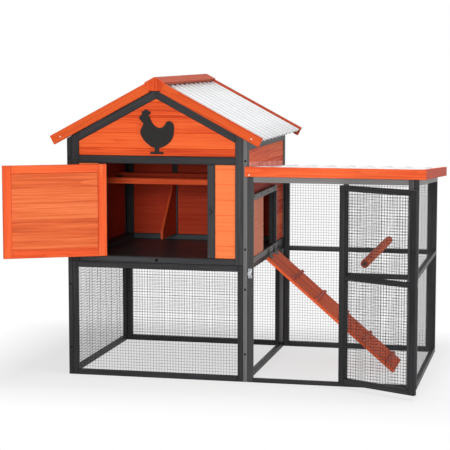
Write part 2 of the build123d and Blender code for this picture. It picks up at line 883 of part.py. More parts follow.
# The perch stands between the front net and the back net, held by a screw and washer outside each
net_front_y = (panel_thick - net_wire) / 2
net_inner_y = net_front_y + net_wire


def perch():
    return [rod((perch_x, net_inner_y, perch_z), (0, 1, 0), perch_radius, house_depth - 2 * net_inner_y)]


def perch_washers():
    made = []
    for y, out in ((net_front_y, -1), (house_depth - net_front_y, 1)):
        washer = rod((perch_x, y, perch_z), (0, out, 0), washer_radius, washer_thick)
        head = rod((perch_x, y, perch_z), (0, out, 0), washer_head_radius, washer_thick + washer_head_high)
        made.append(washer.fuse(head).solid())
    return made


# Front door, built shut and then swung open about its pin
front_pin = (doorway_x + door_gap / 2, -pin_stand_off)
front_edge_x = house_width - doorway_x - door_gap
front_bolt_z = floor_z + doorway_high / 2
front_hinge_z = (floor_z + hinge_inset - hinge_high, door_top_z - hinge_inset)
front_x0 = doorway_x + door_gap
front_z0 = floor_z + door_floor_gap
front_z1 = door_top_z - door_gap


def swung_front(solids):
    axis = Axis((front_pin[0], front_pin[1], 0), (0, 0, 1))
    return [solid.rotate(axis, -front_door_open) for solid in solids]


def front_door_timbers():
    left = front_x0 + door_stile_wide
    right = front_edge_x - door_stile_wide
    return [
        box(front_x0, left, 0, panel_thick, front_z0, front_z1),
        box(right, front_edge_x, 0, panel_thick, front_z0, front_z1),
        box(left, right, 0, panel_thick, front_z0, front_z0 + door_rail_high),
        box(left, right, 0, panel_thick, front_z1 - door_rail_high, front_z1),
    ]


def front_door_boards():
    return boards(front_x0 + door_stile_wide, front_edge_x - door_stile_wide, front_z0 + door_rail_high,
                  front_z1 - door_rail_high, "x", board_set_back, 1)


def front_hinges(moving):
    made = []
    for z in front_hinge_z:
        base = (front_pin[0], front_pin[1], z)
        half = hinge_half(hinge_high, moving)
        if moving:
            made.append(placed(half, base, (1, 0, 0), (0, 0, 1)))
        else:
            made.append(placed(half.mirror(Plane.YZ), base, (1, 0, 0), (0, 0, 1)))
            made.append(placed(hinge_pin(hinge_high), base, (1, 0, 0), (0, 0, 1)))
    return made


# Run door, hung on the centre post, also built shut and then swung open
run_pin = (run_post_x - door_gap / 2, -pin_stand_off)
run_edge_x = run_door_x + door_gap
run_door_right = run_post_x - door_gap
run_door_z0 = run_sill_high + door_gap
run_door_z1 = run_top_rail_z - door_gap
run_bolt_z = run_door_mid_rail_z + run_door_mid_rail_high / 2
run_hinge_z = (run_door_z0 + hinge_inset, run_door_z1 - hinge_inset - hinge_high)


def swung_run(solids):
    axis = Axis((run_pin[0], run_pin[1], 0), (0, 0, 1))
    return [solid.rotate(axis, run_door_open) for solid in solids]


def run_door_timbers():
    left = run_edge_x + run_door_stile_wide
    right = run_door_right - run_door_stile_wide
    mid_top = run_door_mid_rail_z + run_door_mid_rail_high
    return [
        box(run_edge_x, left, 0, panel_thick, run_door_z0, run_door_z1),
        box(right, run_door_right, 0, panel_thick, run_door_z0, run_door_z1),
        box(left, right, 0, panel_thick, run_door_z0, run_door_z0 + run_door_rail_high),
        box(left, right, 0, panel_thick, run_door_mid_rail_z, mid_top),
        box(left, right, 0, panel_thick, run_door_z1 - run_door_rail_high, run_door_z1),
    ]


def run_door_mesh():
    left = run_edge_x + run_door_stile_wide
    right = run_door_right - run_door_stile_wide
    middle = panel_thick / 2
    mid_top = run_door_mid_rail_z + run_door_mid_rail_high
    return [net(left, right, run_door_z0 + run_door_rail_high, run_door_mid_rail_z, "y", middle),
            net(left, right, mid_top, run_door_z1 - run_door_rail_high, "y", middle)]


def run_hinges(moving):
    made = []
    for z in run_hinge_z:
        base = (run_pin[0], run_pin[1], z)
        half = hinge_half(hinge_high, moving)
        if moving:
            made.append(placed(half.mirror(Plane.YZ), base, (1, 0, 0), (0, 0, 1)))
        else:
            made.append(placed(half, base, (1, 0, 0), (0, 0, 1)))
            made.append(placed(hinge_pin(hinge_high), base, (1, 0, 0), (0, 0, 1)))
    return made


# Screw heads that hold the panels together, and the pale caps on the roof boards
def panel_screws():
    side = panel_thick / 2
    run_back_high = on_run_slope(house_depth)
    spots = [(run_end_x - side, run_back_high * share) for share in run_screws_at]
    for x in (side, house_width - side):
        spots += [(x, z) for z in (*house_screws_z, run_top_z + top_screw_over_run)]
    made = []
    for x, z in spots:
        made.append(rod((x, -screw_high, z), (0, 1, 0), screw_radius, screw_high))
        made.append(rod((x, house_depth, z), (0, 1, 0), screw_radius, screw_high))
    return made


def roof_screws():
    x, z = on_slope(barge_end_s - barge_screw_inset, -barge_screw_drop)
    front = roof_front_y - barge_thick - screw_high
    back = roof_back_y + barge_thick
    caps = both_sides([rod((x, y, z), (0, 1, 0), screw_radius, screw_high) for y in (front, back)])
    fascia_front = (run_x + fascia_overlap, -fascia_thick - screw_high, run_top_z)
    caps.append(rod(fascia_front, (0, 1, 0), screw_radius, screw_high))
    return caps


right_sheet = roof_sheet()

nodes = {
    "left_wall_frame": wall_timbers(),
    "left_wall_boards": left_wall_boards(),
    "left_wall_mesh": left_wall_mesh(),
    "right_wall_frame": right_wall_timbers(),
    "right_wall_boards": right_wall_boards(),
    "front_lower_frame": lower_timbers(0),
    "front_lower_mesh": lower_mesh(0),
    "front_upper_frame": front_upper_timbers(),
    "front_boards": front_boards(),
    "hen_plaque": hen_plaque(),
    "back_lower_frame": lower_timbers(house_depth - panel_thick),
    "back_lower_mesh": lower_mesh(house_depth - panel_thick),
    "back_upper_frame": back_upper_timbers(),
    "back_boards": back_boards(),
    "left_roof_sheet": [mirrored(right_sheet)],
    "right_roof_sheet": [right_sheet],
    "roof_purlins": roof_purlins(),
    "front_bargeboards": bargeboards(roof_front_y - barge_thick),
    "back_bargeboards": bargeboards(roof_back_y),
    "ridge_cap": ridge_cap(),
    "ridge_end_blocks": [ridge_end_block(roof_front_y - barge_thick), ridge_end_block(roof_back_y)],
    "tray_runners": tray_runners(),
    "roost_bars": roost_bars(),
    "roost_brackets": both_sides([cradle(y, board_set_back + board_thick, 1) for y in roost_y]),
    "nest_divider": nest_divider(),
    "pop_door_tracks": pop_door_tracks(),
    "front_hinges_fixed": front_hinges(False),
    "front_bolt_keeper": [bolt_keeper(house_width - doorway_x, 1, front_bolt_z)],
    "run_front_frame": run_front_timbers(),
    "run_front_mesh": run_front_mesh(),
    "run_end_frame": run_end_timbers(),
    "run_end_mesh": run_end_mesh(),
    "run_back_frame": run_back_timbers(),
    "run_back_mesh": run_back_mesh(),
    "run_roof_sheet": run_roof_sheet(),
    "run_roof_battens": run_roof_battens(),
    "run_fascias": run_fascias(),
    "perch": perch(),
    "perch_washers": perch_washers(),
    "run_hinges_fixed": run_hinges(False),
    "run_bolt_keeper": [bolt_keeper(run_door_x, -1, run_bolt_z)],
    "ramp_hinges_fixed": ramp_hinges(False),
    "panel_screws": panel_screws(),
    "roof_screws": roof_screws(),
    "front_door_frame": swung_front(front_door_timbers()),
    "front_door_boards": swung_front(front_door_boards()),
    "front_door_hinges": swung_front(front_hinges(True)),
    "front_bolt_housing": swung_front([bolt_housing(front_edge_x, 1, front_bolt_z)]),
    "front_bolt_rod": swung_front([bolt_rod(front_edge_x, 1, front_bolt_z)]),
    "run_door_frame": swung_run(run_door_timbers()),
    "run_door_mesh": swung_run(run_door_mesh()),
    "run_door_hinges": swung_run(run_hinges(True)),
    "run_bolt_housing": swung_run([bolt_housing(run_edge_x, -1, run_bolt_z)]),
    "run_bolt_rod": swung_run([bolt_rod(run_edge_x, -1, run_bolt_z)]),
    "pop_door_panel": pop_door_panel(),
    "tray_pan": tray_pan(),
    "tray_front": tray_front(),
    "ramp_board": ramp_board(),
    "ramp_cleats": ramp_cleats(),
    "ramp_hinges": ramp_hinges(True),
}

whole = Compound(children=[solid.moved(Location()) for solids in nodes.values() for solid in solids])
bounds = whole.bounding_box()
shift = Vector(-(bounds.min.X + bounds.max.X) / 2, -(bounds.min.Y + bounds.max.Y) / 2, -bounds.min.Z)

os.makedirs("parts", exist_ok=True)
for name, solids in nodes.items():
    group = Compound(children=[solid.moved(Location(shift)) for solid in solids])
    export_step(group, "parts/" + name + ".step")
    print(name, len(solids))
print("size", bounds.size, "shift", shift)
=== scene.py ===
import json
import math
import random

import bmesh
import bpy
from mathutils import Matrix, Vector


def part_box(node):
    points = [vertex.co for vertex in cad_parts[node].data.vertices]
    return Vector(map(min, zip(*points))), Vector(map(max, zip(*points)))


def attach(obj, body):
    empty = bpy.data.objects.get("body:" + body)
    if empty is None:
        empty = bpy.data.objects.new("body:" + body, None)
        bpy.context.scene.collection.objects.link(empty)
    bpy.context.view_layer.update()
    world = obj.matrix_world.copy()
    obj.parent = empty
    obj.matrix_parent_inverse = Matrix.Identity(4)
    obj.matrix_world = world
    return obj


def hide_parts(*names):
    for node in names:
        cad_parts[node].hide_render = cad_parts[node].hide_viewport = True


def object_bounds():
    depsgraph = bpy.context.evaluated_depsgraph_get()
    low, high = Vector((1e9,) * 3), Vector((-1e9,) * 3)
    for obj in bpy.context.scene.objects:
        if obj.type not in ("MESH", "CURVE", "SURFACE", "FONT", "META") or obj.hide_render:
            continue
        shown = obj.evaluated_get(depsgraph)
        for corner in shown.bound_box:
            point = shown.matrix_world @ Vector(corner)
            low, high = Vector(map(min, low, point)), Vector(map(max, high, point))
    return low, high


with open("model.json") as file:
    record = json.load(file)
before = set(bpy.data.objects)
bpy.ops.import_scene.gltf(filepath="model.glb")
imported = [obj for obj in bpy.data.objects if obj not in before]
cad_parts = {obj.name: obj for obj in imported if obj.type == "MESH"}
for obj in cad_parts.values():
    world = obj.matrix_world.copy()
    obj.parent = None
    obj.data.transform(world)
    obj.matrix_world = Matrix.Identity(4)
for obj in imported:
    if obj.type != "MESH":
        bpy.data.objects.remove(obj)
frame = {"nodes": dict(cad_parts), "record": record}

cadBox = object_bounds()
cadNodes = frame["nodes"]
record = frame["record"]
bodyOf = {node: body for body, held in record["behaviour"]["bodies"].items() for node in held}
scene = bpy.context.scene
print("frame loaded:", len(cadNodes), "nodes")

# camera, from lines fitted to the edges of the house
photoCamera = {
    "place": (1.517, -6.9305, 1.439),  # metres
    "tilt": 83.592,  # degrees from straight down
    "turn": 12.756,
    "lens": 125.03,  # millimetres
    "sensor": 36.0,
}


def addCamera(settings):
    lens = bpy.data.cameras.new("photoCamera")
    lens.sensor_fit = "HORIZONTAL"
    lens.sensor_width = settings["sensor"]
    lens.lens = settings["lens"]
    holder = bpy.data.objects.new("photoCamera", lens)
    holder.location = settings["place"]
    holder.rotation_euler = (math.radians(settings["tilt"]), 0, math.radians(settings["turn"]))
    scene.collection.objects.link(holder)
    scene.camera = holder


addCamera(photoCamera)


# a colour as it shows on screen, 0 to 255, turned into the linear value that a socket wants
def shade(red, green, blue):
    def linear(value):
        value /= 255
        return value / 12.92 if value <= 0.04045 else ((value + 0.055) / 1.055) ** 2.4
    return linear(red), linear(green), linear(blue), 1.0


def addNode(tree, kind, sockets=None, **settings):
    node = tree.nodes.new(kind)
    for name, value in settings.items():
        setattr(node, name, value)
    for key, value in (sockets or {}).items():
        if isinstance(value, bpy.types.NodeSocket):
            tree.links.new(value, node.inputs[key])
        else:
            node.inputs[key].default_value = value
    return node


def newFinish(name):
    finish = bpy.data.materials.new(name)
    finish.use_nodes = True
    tree = finish.node_tree
    tree.nodes.clear()
    surface = addNode(tree, "ShaderNodeBsdfPrincipled")
    addNode(tree, "ShaderNodeOutputMaterial", {"Surface": surface.outputs[0]})
    return finish, tree, surface


def mathOf(tree, operation, *values, clamp=False):
    sockets = dict(enumerate(values))
    return addNode(tree, "ShaderNodeMath", sockets, operation=operation, use_clamp=clamp).outputs[0]


def vectorOf(tree, operation, *values):
    sockets = dict(enumerate(values))
    return addNode(tree, "ShaderNodeVectorMath", sockets, operation=operation).outputs[0]


def pointOf(tree, **parts):
    return addNode(tree, "ShaderNodeCombineXYZ", parts).outputs[0]


def partsOf(tree, vector):
    return addNode(tree, "ShaderNodeSeparateXYZ", {0: vector}).outputs


def mapped(tree, value, low, high, toLow, toHigh):
    sockets = {"Value": value, "From Min": low, "From Max": high, "To Min": toLow, "To Max": toHigh}
    return addNode(tree, "ShaderNodeMapRange", sockets).outputs["Result"]


def stretched(tree, vector, scale):
    return addNode(tree, "ShaderNodeMapping", {"Vector": vector, "Scale": scale}).outputs[0]


def noiseOf(tree, vector, detail=2.0, roughness=0.5, scale=1.0):
    sockets = {"Vector": vector, "Scale": scale, "Detail": detail, "Roughness": roughness}
    return addNode(tree, "ShaderNodeTexNoise", sockets)


def rampOf(tree, value, stops):
    node = addNode(tree, "ShaderNodeValToRGB", {"Fac": value})
    points = node.color_ramp.elements
    while len(points) < len(stops):
        points.new(0.5)
    for point, (at, colour) in zip(points, stops):
        point.position = at
        point.color = colour
    return node.outputs["Color"]


def mixOf(tree, share, first, second):
    node = addNode(tree, "ShaderNodeMix", data_type="RGBA")
    inputs = [socket for socket in node.inputs if socket.enabled]
    for socket, value in zip(inputs, (share, first, second)):
        if isinstance(value, bpy.types.NodeSocket):
            tree.links.new(value, socket)
        else:
            socket.default_value = value
    return next(socket for socket in node.outputs if socket.enabled)


def objectPlace(tree):
    return addNode(tree, "ShaderNodeTexCoord").outputs["Object"]


def setRelief(tree, surface, height, strength, deep):
    bump = addNode(tree, "ShaderNodeBump", {"Height": height, "Strength": strength, "Distance": deep})
    tree.links.new(bump.outputs[0], surface.inputs["Normal"])


# nearly all of a noise lies within the wide limits, most of it within the close ones
wideNoise = (0.3, 0.7)
closeNoise = (0.35, 0.65)
noiseCentre = (0.5, 0.5, 0.5)

# a pale band painted on the wall just above the run's roof, standing in for the roof sheet's sheen
runRoofSlope = 0.0617  # drop for each metre toward the back
roofSheenBand = {"high": 0.021, "soft": 0.003, "share": (0.3, 0.9), "patch": 14.0}  # heights in metres


def splashShare(tree):
    low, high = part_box("run_roof_sheet")
    here = objectPlace(tree)
    place = partsOf(tree, here)
    back = mathOf(tree, "SUBTRACT", place["Y"], low.y)
    level = mathOf(tree, "MULTIPLY_ADD", back, runRoofSlope, place["Z"])
    top = high.z + roofSheenBand["high"]
    above = mapped(tree, level, high.z - roofSheenBand["soft"], high.z, 0.0, 1.0)
    below = mapped(tree, level, top - roofSheenBand["soft"], top, 1.0, 0.0)
    patch = noiseOf(tree, here, scale=roofSheenBand["patch"]).outputs["Fac"]
    blotch = mapped(tree, patch, *closeNoise, *roofSheenBand["share"])
    return mathOf(tree, "MULTIPLY", mathOf(tree, "MULTIPLY", above, below), blotch)


# how the figure of the wood is drawn out along, across and through a board
woodFigure = {
    "fibre": (9, 420, 420), "streak": (2.6, 125, 125), "cloud": (1.8, 14, 14), "patch": (30, 60, 60),
    "swing": (0, 0.02, 0.02),  # metres that the rings wander
    "ringTurn": 0.314,  # metres between rings at a wave scale of 1
    # the patch range breaks up the painted shade along board edges, the streak range breaks up the second
    # colour of painted light and shade
    "patchEdgeShade": (0.3, 1.0), "streakShadingAndPale": (0.75, 1.0),
    "ringRelief": 0.35, "reliefDeep": 0.0006,
}


# Timber. Every board carries its own place along, across and through (spot), its half sizes (half), a
# shift into the log it was cut from (log), a tone and its share of a second colour, which is painted light
# and shade on most boards and a paler grey coat on the run's front top rail, so no two share their grain
def timberFinish(name, look):
    finish, tree, surface = newFinish(name)

    def carried(label, output="Vector"):
        return addNode(tree, "ShaderNodeAttribute", attribute_name=label).outputs[output]

    spot = carried("spot")
    tone = carried("tone", "Fac")
    cut = vectorOf(tree, "ADD", spot, carried("log"))

    def figure(scale, **settings):
        return noiseOf(tree, stretched(tree, cut, scale), **settings).outputs

    sway = vectorOf(tree, "SUBTRACT", figure(look["sway"])["Color"], noiseCentre)
    bent = vectorOf(tree, "ADD", cut, vectorOf(tree, "MULTIPLY", sway, woodFigure["swing"]))
    curve = {"Vector": bent, "Scale": woodFigure["ringTurn"] / look["ring"]}
    rings = addNode(tree, "ShaderNodeTexWave", curve, wave_type="RINGS", rings_direction="X",
                    wave_profile="SAW").outputs["Fac"]
    fibre = figure(woodFigure["fibre"], detail=3.0, roughness=0.6)["Fac"]
    streak = figure(woodFigure["streak"])["Fac"]
    cloud = figure(woodFigure["cloud"], detail=1.0)["Fac"]
    grain = ((rings, look["ringShare"]), (fibre, look["fibreShare"]), (streak, look["streakShare"]),
             (cloud, look["cloudShare"]))
    value = mathOf(tree, "MULTIPLY", tone, look["toneShare"])
    for part, share in grain:
        value = mathOf(tree, "MULTIPLY_ADD", part, share, value)
    middle = sum(share for part, share in grain) / 2
    value = mapped(tree, value, middle - look["spread"], middle + look["spread"], 0.0, 1.0)
    colour = rampOf(tree, value, [(0.0, shade(*look["deep"])), (0.5, shade(*look["body"])),
                                  (1.0, shade(*look["pale"]))])

    # painted shade along every board's edges, as falls in the grooves between boards: how far a point is
    # from the nearest edge of its board
    inset = partsOf(tree, vectorOf(tree, "SUBTRACT", carried("half"), vectorOf(tree, "ABSOLUTE", spot)))
    low = mathOf(tree, "MINIMUM", inset[0], inset[1])
    high = mathOf(tree, "MAXIMUM", inset[0], inset[1])
    edge = mathOf(tree, "MAXIMUM", low, mathOf(tree, "MINIMUM", high, inset[2]))
    near = mapped(tree, edge, 0.0, look["rubWide"], 1.0, 0.0)
    patchy = mapped(tree, figure(woodFigure["patch"])["Fac"], *closeNoise, *woodFigure["patchEdgeShade"])
    rub = mathOf(tree, "MULTIPLY", mathOf(tree, "MULTIPLY", near, patchy), look["rub"], clamp=True)
    colour = mixOf(tree, rub, colour, shade(*look["rubbed"]))
    # second colour: painted shade and painted light, and on the run's front top rail a paler grey coat,
    # broken up by the streaks
    streaky = mapped(tree, streak, *wideNoise, *woodFigure["streakShadingAndPale"])
    bare = mathOf(tree, "MULTIPLY", carried("bare", "Fac"), streaky)
    colour = mixOf(tree, bare, colour, shade(*look["bared"]))
    # a pale band of painted sheen from the run's roof sheet on the wall just above it
    if "roofSheen" in look:
        colour = mixOf(tree, splashShare(tree), colour, shade(*look["roofSheen"]))
    tree.links.new(colour, surface.inputs["Base Color"])

    rough = mapped(tree, fibre, *wideNoise, *look["gloss"])
    tree.links.new(rough, surface.inputs["Roughness"])
    surface.inputs["Specular IOR Level"].default_value = look["shine"]
    relief = mathOf(tree, "MULTIPLY_ADD", rings, woodFigure["ringRelief"], fibre)
    setRelief(tree, surface, relief, look["bump"], woodFigure["reliefDeep"])
    return finish


# edge colour: painted shade along board edges; second colour: painted shade on faces inside the house, the
# back roost bar and boards under the run's roof
orangeStain = {
    "pale": (252, 122, 66), "body": (242, 98, 48), "deep": (206, 66, 28),
    "rubbed": (150, 52, 24), "rub": 0.45, "rubWide": 0.003, "bared": (172, 46, 22),
    "sway": (1.8, 9, 9), "ring": 0.0045,
    "ringShare": 0.18, "fibreShare": 0.40, "streakShare": 0.60, "cloudShare": 0.34, "toneShare": 0.12,
    "spread": 0.28, "gloss": (0.46, 0.64), "shine": 0.12, "bump": 0.25,
}
# the pale band colour is painted sheen of the run's roof sheet on the wall above it; the second colour is
# painted shade on inner faces, right-facing faces and boards under the run's roof
wallStain = dict(orangeStain, pale=(255, 132, 78), body=(238, 94, 48), deep=(176, 46, 20), spread=0.20,
                 roofSheen=(255, 172, 158))
# its second colour is painted shade on the right-facing end of the run's fascia
fasciaStain = dict(orangeStain, pale=(252, 116, 60), body=(240, 96, 46), deep=(214, 74, 32))
doorStain = dict(orangeStain, pale=(242, 132, 80), body=(226, 104, 55), deep=(184, 72, 36),
                 cloudShare=0.40)
# a stronger painted shade along its edges sets the door frame's rails and stiles apart from its boards
doorFrameStain = dict(orangeStain, pale=(250, 116, 64), body=(238, 94, 46), deep=(206, 70, 32), rub=0.75)
# the gable's darker body is painted shade of the roof's overhang, and its brighter second colour is painted
# light on the front boards below it
gableStain = dict(orangeStain, pale=(246, 110, 52), body=(234, 90, 38), deep=(192, 58, 20),
                  bared=(255, 134, 76))
bargeStain = dict(orangeStain, pale=(236, 102, 46), body=(220, 86, 34), deep=(190, 64, 22))
# a darker copy of the orange: painted shade on the ridge cap's slope and on the back bargeboards
ridgeStain = dict(orangeStain, pale=(206, 94, 58), body=(188, 76, 44), deep=(156, 54, 28))
# a brighter copy of the orange: painted light on the ramp and perch under the run's roof; the second colour
# is a painted highlight on the ramp's front edge
rampStain = dict(orangeStain, pale=(255, 124, 68), body=(248, 106, 54), deep=(210, 76, 36),
                 bared=(242, 104, 56))
# paler cleats: painted highlight where their tops catch the light
cleatStain = dict(orangeStain, pale=(226, 112, 82), body=(206, 92, 66), deep=(170, 66, 46), rub=0.2)
# a pale pink copy of the orange: painted light on the slide door panel, which sits in the shade of the
# run's roof
slideDoorStain = dict(orangeStain, pale=(255, 176, 146), body=(255, 156, 122), deep=(238, 130, 98),
                      rub=0.0)
# edge colour: painted shade in the grooves between boards; second colour: painted highlight on rails and
# edges that face the light, and a paler grey coat on the run's front top rail
charcoalPaint = {
    "pale": (70, 70, 72), "body": (47, 47, 49), "deep": (28, 28, 30),
    "rubbed": (10, 10, 11), "rub": 0.85, "rubWide": 0.0036, "bared": (136, 136, 135),
    "sway": (1.8, 9, 9), "ring": 0.0045,
    "ringShare": 0.12, "fibreShare": 0.40, "streakShare": 0.46, "cloudShare": 0.40, "toneShare": 0.14,
    "spread": 0.30, "gloss": (0.36, 0.52), "shine": 0.15, "bump": 0.20,
}
stains = {
    "orange": timberFinish("orangeStain", orangeStain),
    "wall": timberFinish("wallStain", wallStain),
    "fascia": timberFinish("fasciaStain", fasciaStain),
    "door": timberFinish("doorStain", doorStain),
    "doorFrame": timberFinish("doorFrameStain", doorFrameStain),
    "gable": timberFinish("gableStain", gableStain),
    "barge": timberFinish("bargeStain", bargeStain),
    "ridge": timberFinish("ridgeStain", ridgeStain),
    "ramp": timberFinish("rampStain", rampStain),
    "cleat": timberFinish("cleatStain", cleatStain),
    "slideDoor": timberFinish("slideDoorStain", slideDoorStain),
    "charcoal": timberFinish("charcoalPaint", charcoalPaint),
}
print("timber finishes:", len(stains))


# how boards are read from the solids and finished, angles in degrees
boardShape = {
    "snap": 100000,  # steps to the metre: points within a step are one
    "flatAngle": 0.5, "sharpAngle": 24, "smoothAngle": 50, "easeSteps": 2,
    "square": 0.05, "facing": 0.5,  # cosines
    "logs": ((0, 9), (-0.03, 0.03), (0.035, 0.09)),  # metres along, across and deep in the log
}


# one closed shell for each board of a node: its triangles come in a row until no edge is open
def closedShells(mesh):
    keys = [tuple(round(c * boardShape["snap"]) for c in point.co) for point in mesh.vertices]
    shells, faces, waiting = [], [], set()
    for face in mesh.polygons:
        corners = [keys[i] for i in face.vertices]
        faces.append(list(face.vertices))
        for start, end in zip(corners, corners[1:] + corners[:1]):
            if start == end:
                continue
            if (end, start) in waiting:
                waiting.discard((end, start))
            else:
                waiting.add((start, end))
        if not waiting:
            shells.append(faces)
            faces = []
    if faces:
        shells.append(faces)
    return keys, shells


def shellMesh(mesh, keys, faces):
    made = bmesh.new()
    points = {}
    for corners in faces:
        for i in corners:
            if keys[i] not in points:
                points[keys[i]] = made.verts.new(mesh.vertices[i].co)
        ring = [points[keys[i]] for i in corners]
        if len(set(ring)) == len(ring) and made.faces.get(ring) is None:
            made.faces.new(ring)
    made.normal_update()
    flat = math.radians(boardShape["flatAngle"])
    bmesh.ops.dissolve_limit(made, angle_limit=flat, verts=made.verts[:], edges=made.edges[:])
    return made


# along the longest edge unless told, then across the wide face, then through the thickness
def boardAxes(made, along):
    edges = sorted(made.edges, key=lambda edge: -edge.calc_length())
    ways = [(edge.verts[1].co - edge.verts[0].co).normalized() for edge in edges]
    first = Vector(along).normalized() if along else ways[0]
    square = (way for way in ways if abs(way.dot(first)) < boardShape["square"])
    second = next(square, first.orthogonal().normalized())
    second = (second - first * second.dot(first)).normalized()
    third = first.cross(second)
    spans = []
    for way in (first, second, third):
        reach = [way.dot(point.co) for point in made.verts]
        spans.append((min(reach), max(reach)))
    if spans[2][1] - spans[2][0] > spans[1][1] - spans[1][0]:
        second, third = third, -second
        spans = [spans[0], spans[2], (-spans[1][1], -spans[1][0])]
    middle = [(low + high) / 2 for low, high in spans]
    half = [(high - low) / 2 for low, high in spans]
    return (first, second, third), middle, half


def pieceName(node):
    first, *rest = node.split("_")
    return first + "".join(word.capitalize() for word in rest)


def plainMesh(holder):
    graph = bpy.context.evaluated_depsgraph_get()
    made = bpy.data.meshes.new_from_object(holder.evaluated_get(graph), preserve_all_data_layers=True,
                                           depsgraph=graph)
    holder.modifiers.clear()
    old = holder.data
    holder.data = made
    bpy.data.meshes.remove(old)
    made.name = holder.name


def takePlace(holder, *nodeNames):
    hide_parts(*nodeNames)
    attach(holder, bodyOf[nodeNames[0]])


def wornFaces(made, rules):
    heights = [point.co.z for point in made.verts]
    low, high = min(heights), max(heights)
    nearest = min(point.co.y for point in made.verts)
    shares = [0.0] * len(made.faces)
    for rule in rules:
        lowest, highest = rule.get("between", (-math.inf, math.inf))
        shortest, tallest = rule.get("tall", (0.0, math.inf))
        if low < lowest or high > highest or not shortest <= high - low <= tallest:
            continue
        if nearest < rule.get("beyond", -math.inf):
            continue
        for i, face in enumerate(made.faces):
            if "facing" not in rule or face.normal.dot(Vector(rule["facing"])) > boardShape["facing"]:
                shares[i] = rule["share"]
    return shares


# the boards of one node with eased edges, each board with its own piece of grain
def timberPiece(node, finish, ease, along=None):
    mesh = cadNodes[node].data
    keys, shells = closedShells(mesh)
    luck = random.Random(node)
    sharpest = math.radians(boardShape["sharpAngle"])
    points, faces, spots, halves, logs, tones, shadingAndPaleShares = [], [], [], [], [], [], []
    for shell in shells:
        made = shellMesh(mesh, keys, shell)
        axes, middle, half = boardAxes(made, along)
        sharp = [edge for edge in made.edges if edge.is_manifold and edge.calc_face_angle() > sharpest]
        bmesh.ops.bevel(made, geom=sharp, offset=ease, segments=boardShape["easeSteps"], profile=0.5,
                        affect="EDGES", clamp_overlap=True)
        log = [luck.uniform(*limits) for limits in boardShape["logs"]]
        tone = luck.uniform(-1, 1)
        start = len(points)
        made.verts.index_update()
        for point in made.verts:
            points.append(point.co.copy())
            spots.append([axes[i].dot(point.co) - middle[i] for i in range(3)])
            halves.append(half)
            logs.append(log)
            tones.append(tone)
        faces += [[start + point.index for point in face.verts] for face in made.faces]
        shadingAndPaleShares += wornFaces(made, shadingAndPaleCoat.get(node, ()))
        made.free()
    board = bpy.data.meshes.new(pieceName(node))
    board.from_pydata(points, [], faces)
    for label, rows in (("spot", spots), ("half", halves), ("log", logs)):
        store = board.attributes.new(label, "FLOAT_VECTOR", "POINT")
        store.data.foreach_set("vector", [value for row in rows for value in row])
    board.attributes.new("tone", "FLOAT", "POINT").data.foreach_set("value", tones)
    board.attributes.new("bare", "FLOAT", "FACE").data.foreach_set("value", shadingAndPaleShares)
    board.polygons.foreach_set("use_smooth", [True] * len(faces))
    board.set_sharp_from_angle(angle=math.radians(boardShape["smoothAngle"]))
    board.materials.append(finish)
    holder = bpy.data.objects.new(pieceName(node), board)
    scene.collection.objects.link(holder)
    even = holder.modifiers.new("evenNormals", "WEIGHTED_NORMAL")
    even.keep_sharp = True
    plainMesh(holder)
    takePlace(holder, node)


# boards that show their second colour: painted shade inside the house, on the back roost bar, under the
# run's roof and on faces that look right; painted light on the lower front boards, the ramp's front edge
# and grey rails and edges; a paler grey coat on the run's front top rail. Wholly between two heights, as
# tall as told or beyond a depth, in metres, and all round or on the faces that look one way
shadingAndPaleCoat = {
    "run_front_frame": [{"between": (0.80, 2.0), "share": 0.9}, {"tall": (0.8, 2.0), "share": 0.15}],
    "run_end_frame": [{"between": (0.72, 2.0), "share": 1.0}],
    "right_wall_frame": [{"tall": (0.8, 2.0), "facing": (0, -1, 0), "share": 0.6}],
    "pop_door_tracks": [{"tall": (0.0, 0.1), "share": 0.9}],
    "front_boards": [{"between": (0.0, 0.96), "share": 1.0}],
    "roost_bars": [{"beyond": 0.2, "share": 1.0}],
    "ramp_board": [{"facing": (0, -1, 0), "share": 1.0}],
    "back_boards": [{"facing": (0, -1, 0), "share": 1.0}],
    "left_wall_boards": [{"facing": (1, 0, 0), "share": 1.0}],
    "right_wall_boards": [{"facing": (-1, 0, 0), "share": 1.0}, {"facing": (1, 0, 0), "share": 0.22},
                          {"between": (0.78, 0.87), "facing": (1, 0, 0), "share": 0.85}],
    "nest_divider": [{"facing": (1, 0, 0), "share": 1.0}, {"facing": (0, -1, 0), "share": 0.6}],
    "run_fascias": [{"facing": (1, 0, 0), "share": 0.8}],
}
# posts, rails and other painted timber
paintedTimber = {
    "nodes": ("left_wall_frame", "right_wall_frame", "front_lower_frame", "front_upper_frame",
              "back_lower_frame", "back_upper_frame", "roof_purlins", "tray_runners", "roost_brackets",
              "pop_door_tracks", "run_front_frame", "run_end_frame", "run_back_frame", "run_roof_battens",
              "run_door_frame", "tray_front"),
    "ease": 0.0018,  # metres
}
# boards and trim in the orange stain
stainedTimber = {
    "nodes": {
        "orange": ("left_wall_boards", "back_boards", "nest_divider", "roost_bars"),
        "wall": ("right_wall_boards",),
        "fascia": ("run_fascias",),
        "door": ("front_door_boards",),
        "doorFrame": ("front_door_frame",),
        "gable": ("front_boards", "ridge_end_blocks"),
        "barge": ("front_bargeboards",),
        "ridge": ("ridge_cap", "back_bargeboards"),
        "ramp": ("ramp_board", "perch"),
        "cleat": ("ramp_cleats",),
        "slideDoor": ("pop_door_panel",),
    },
    "along": {"nest_divider": (0, 0, 1), "ridge_end_blocks": (0, 0, 1)},  # grain, where not lengthwise
    "ease": 0.0009,
}

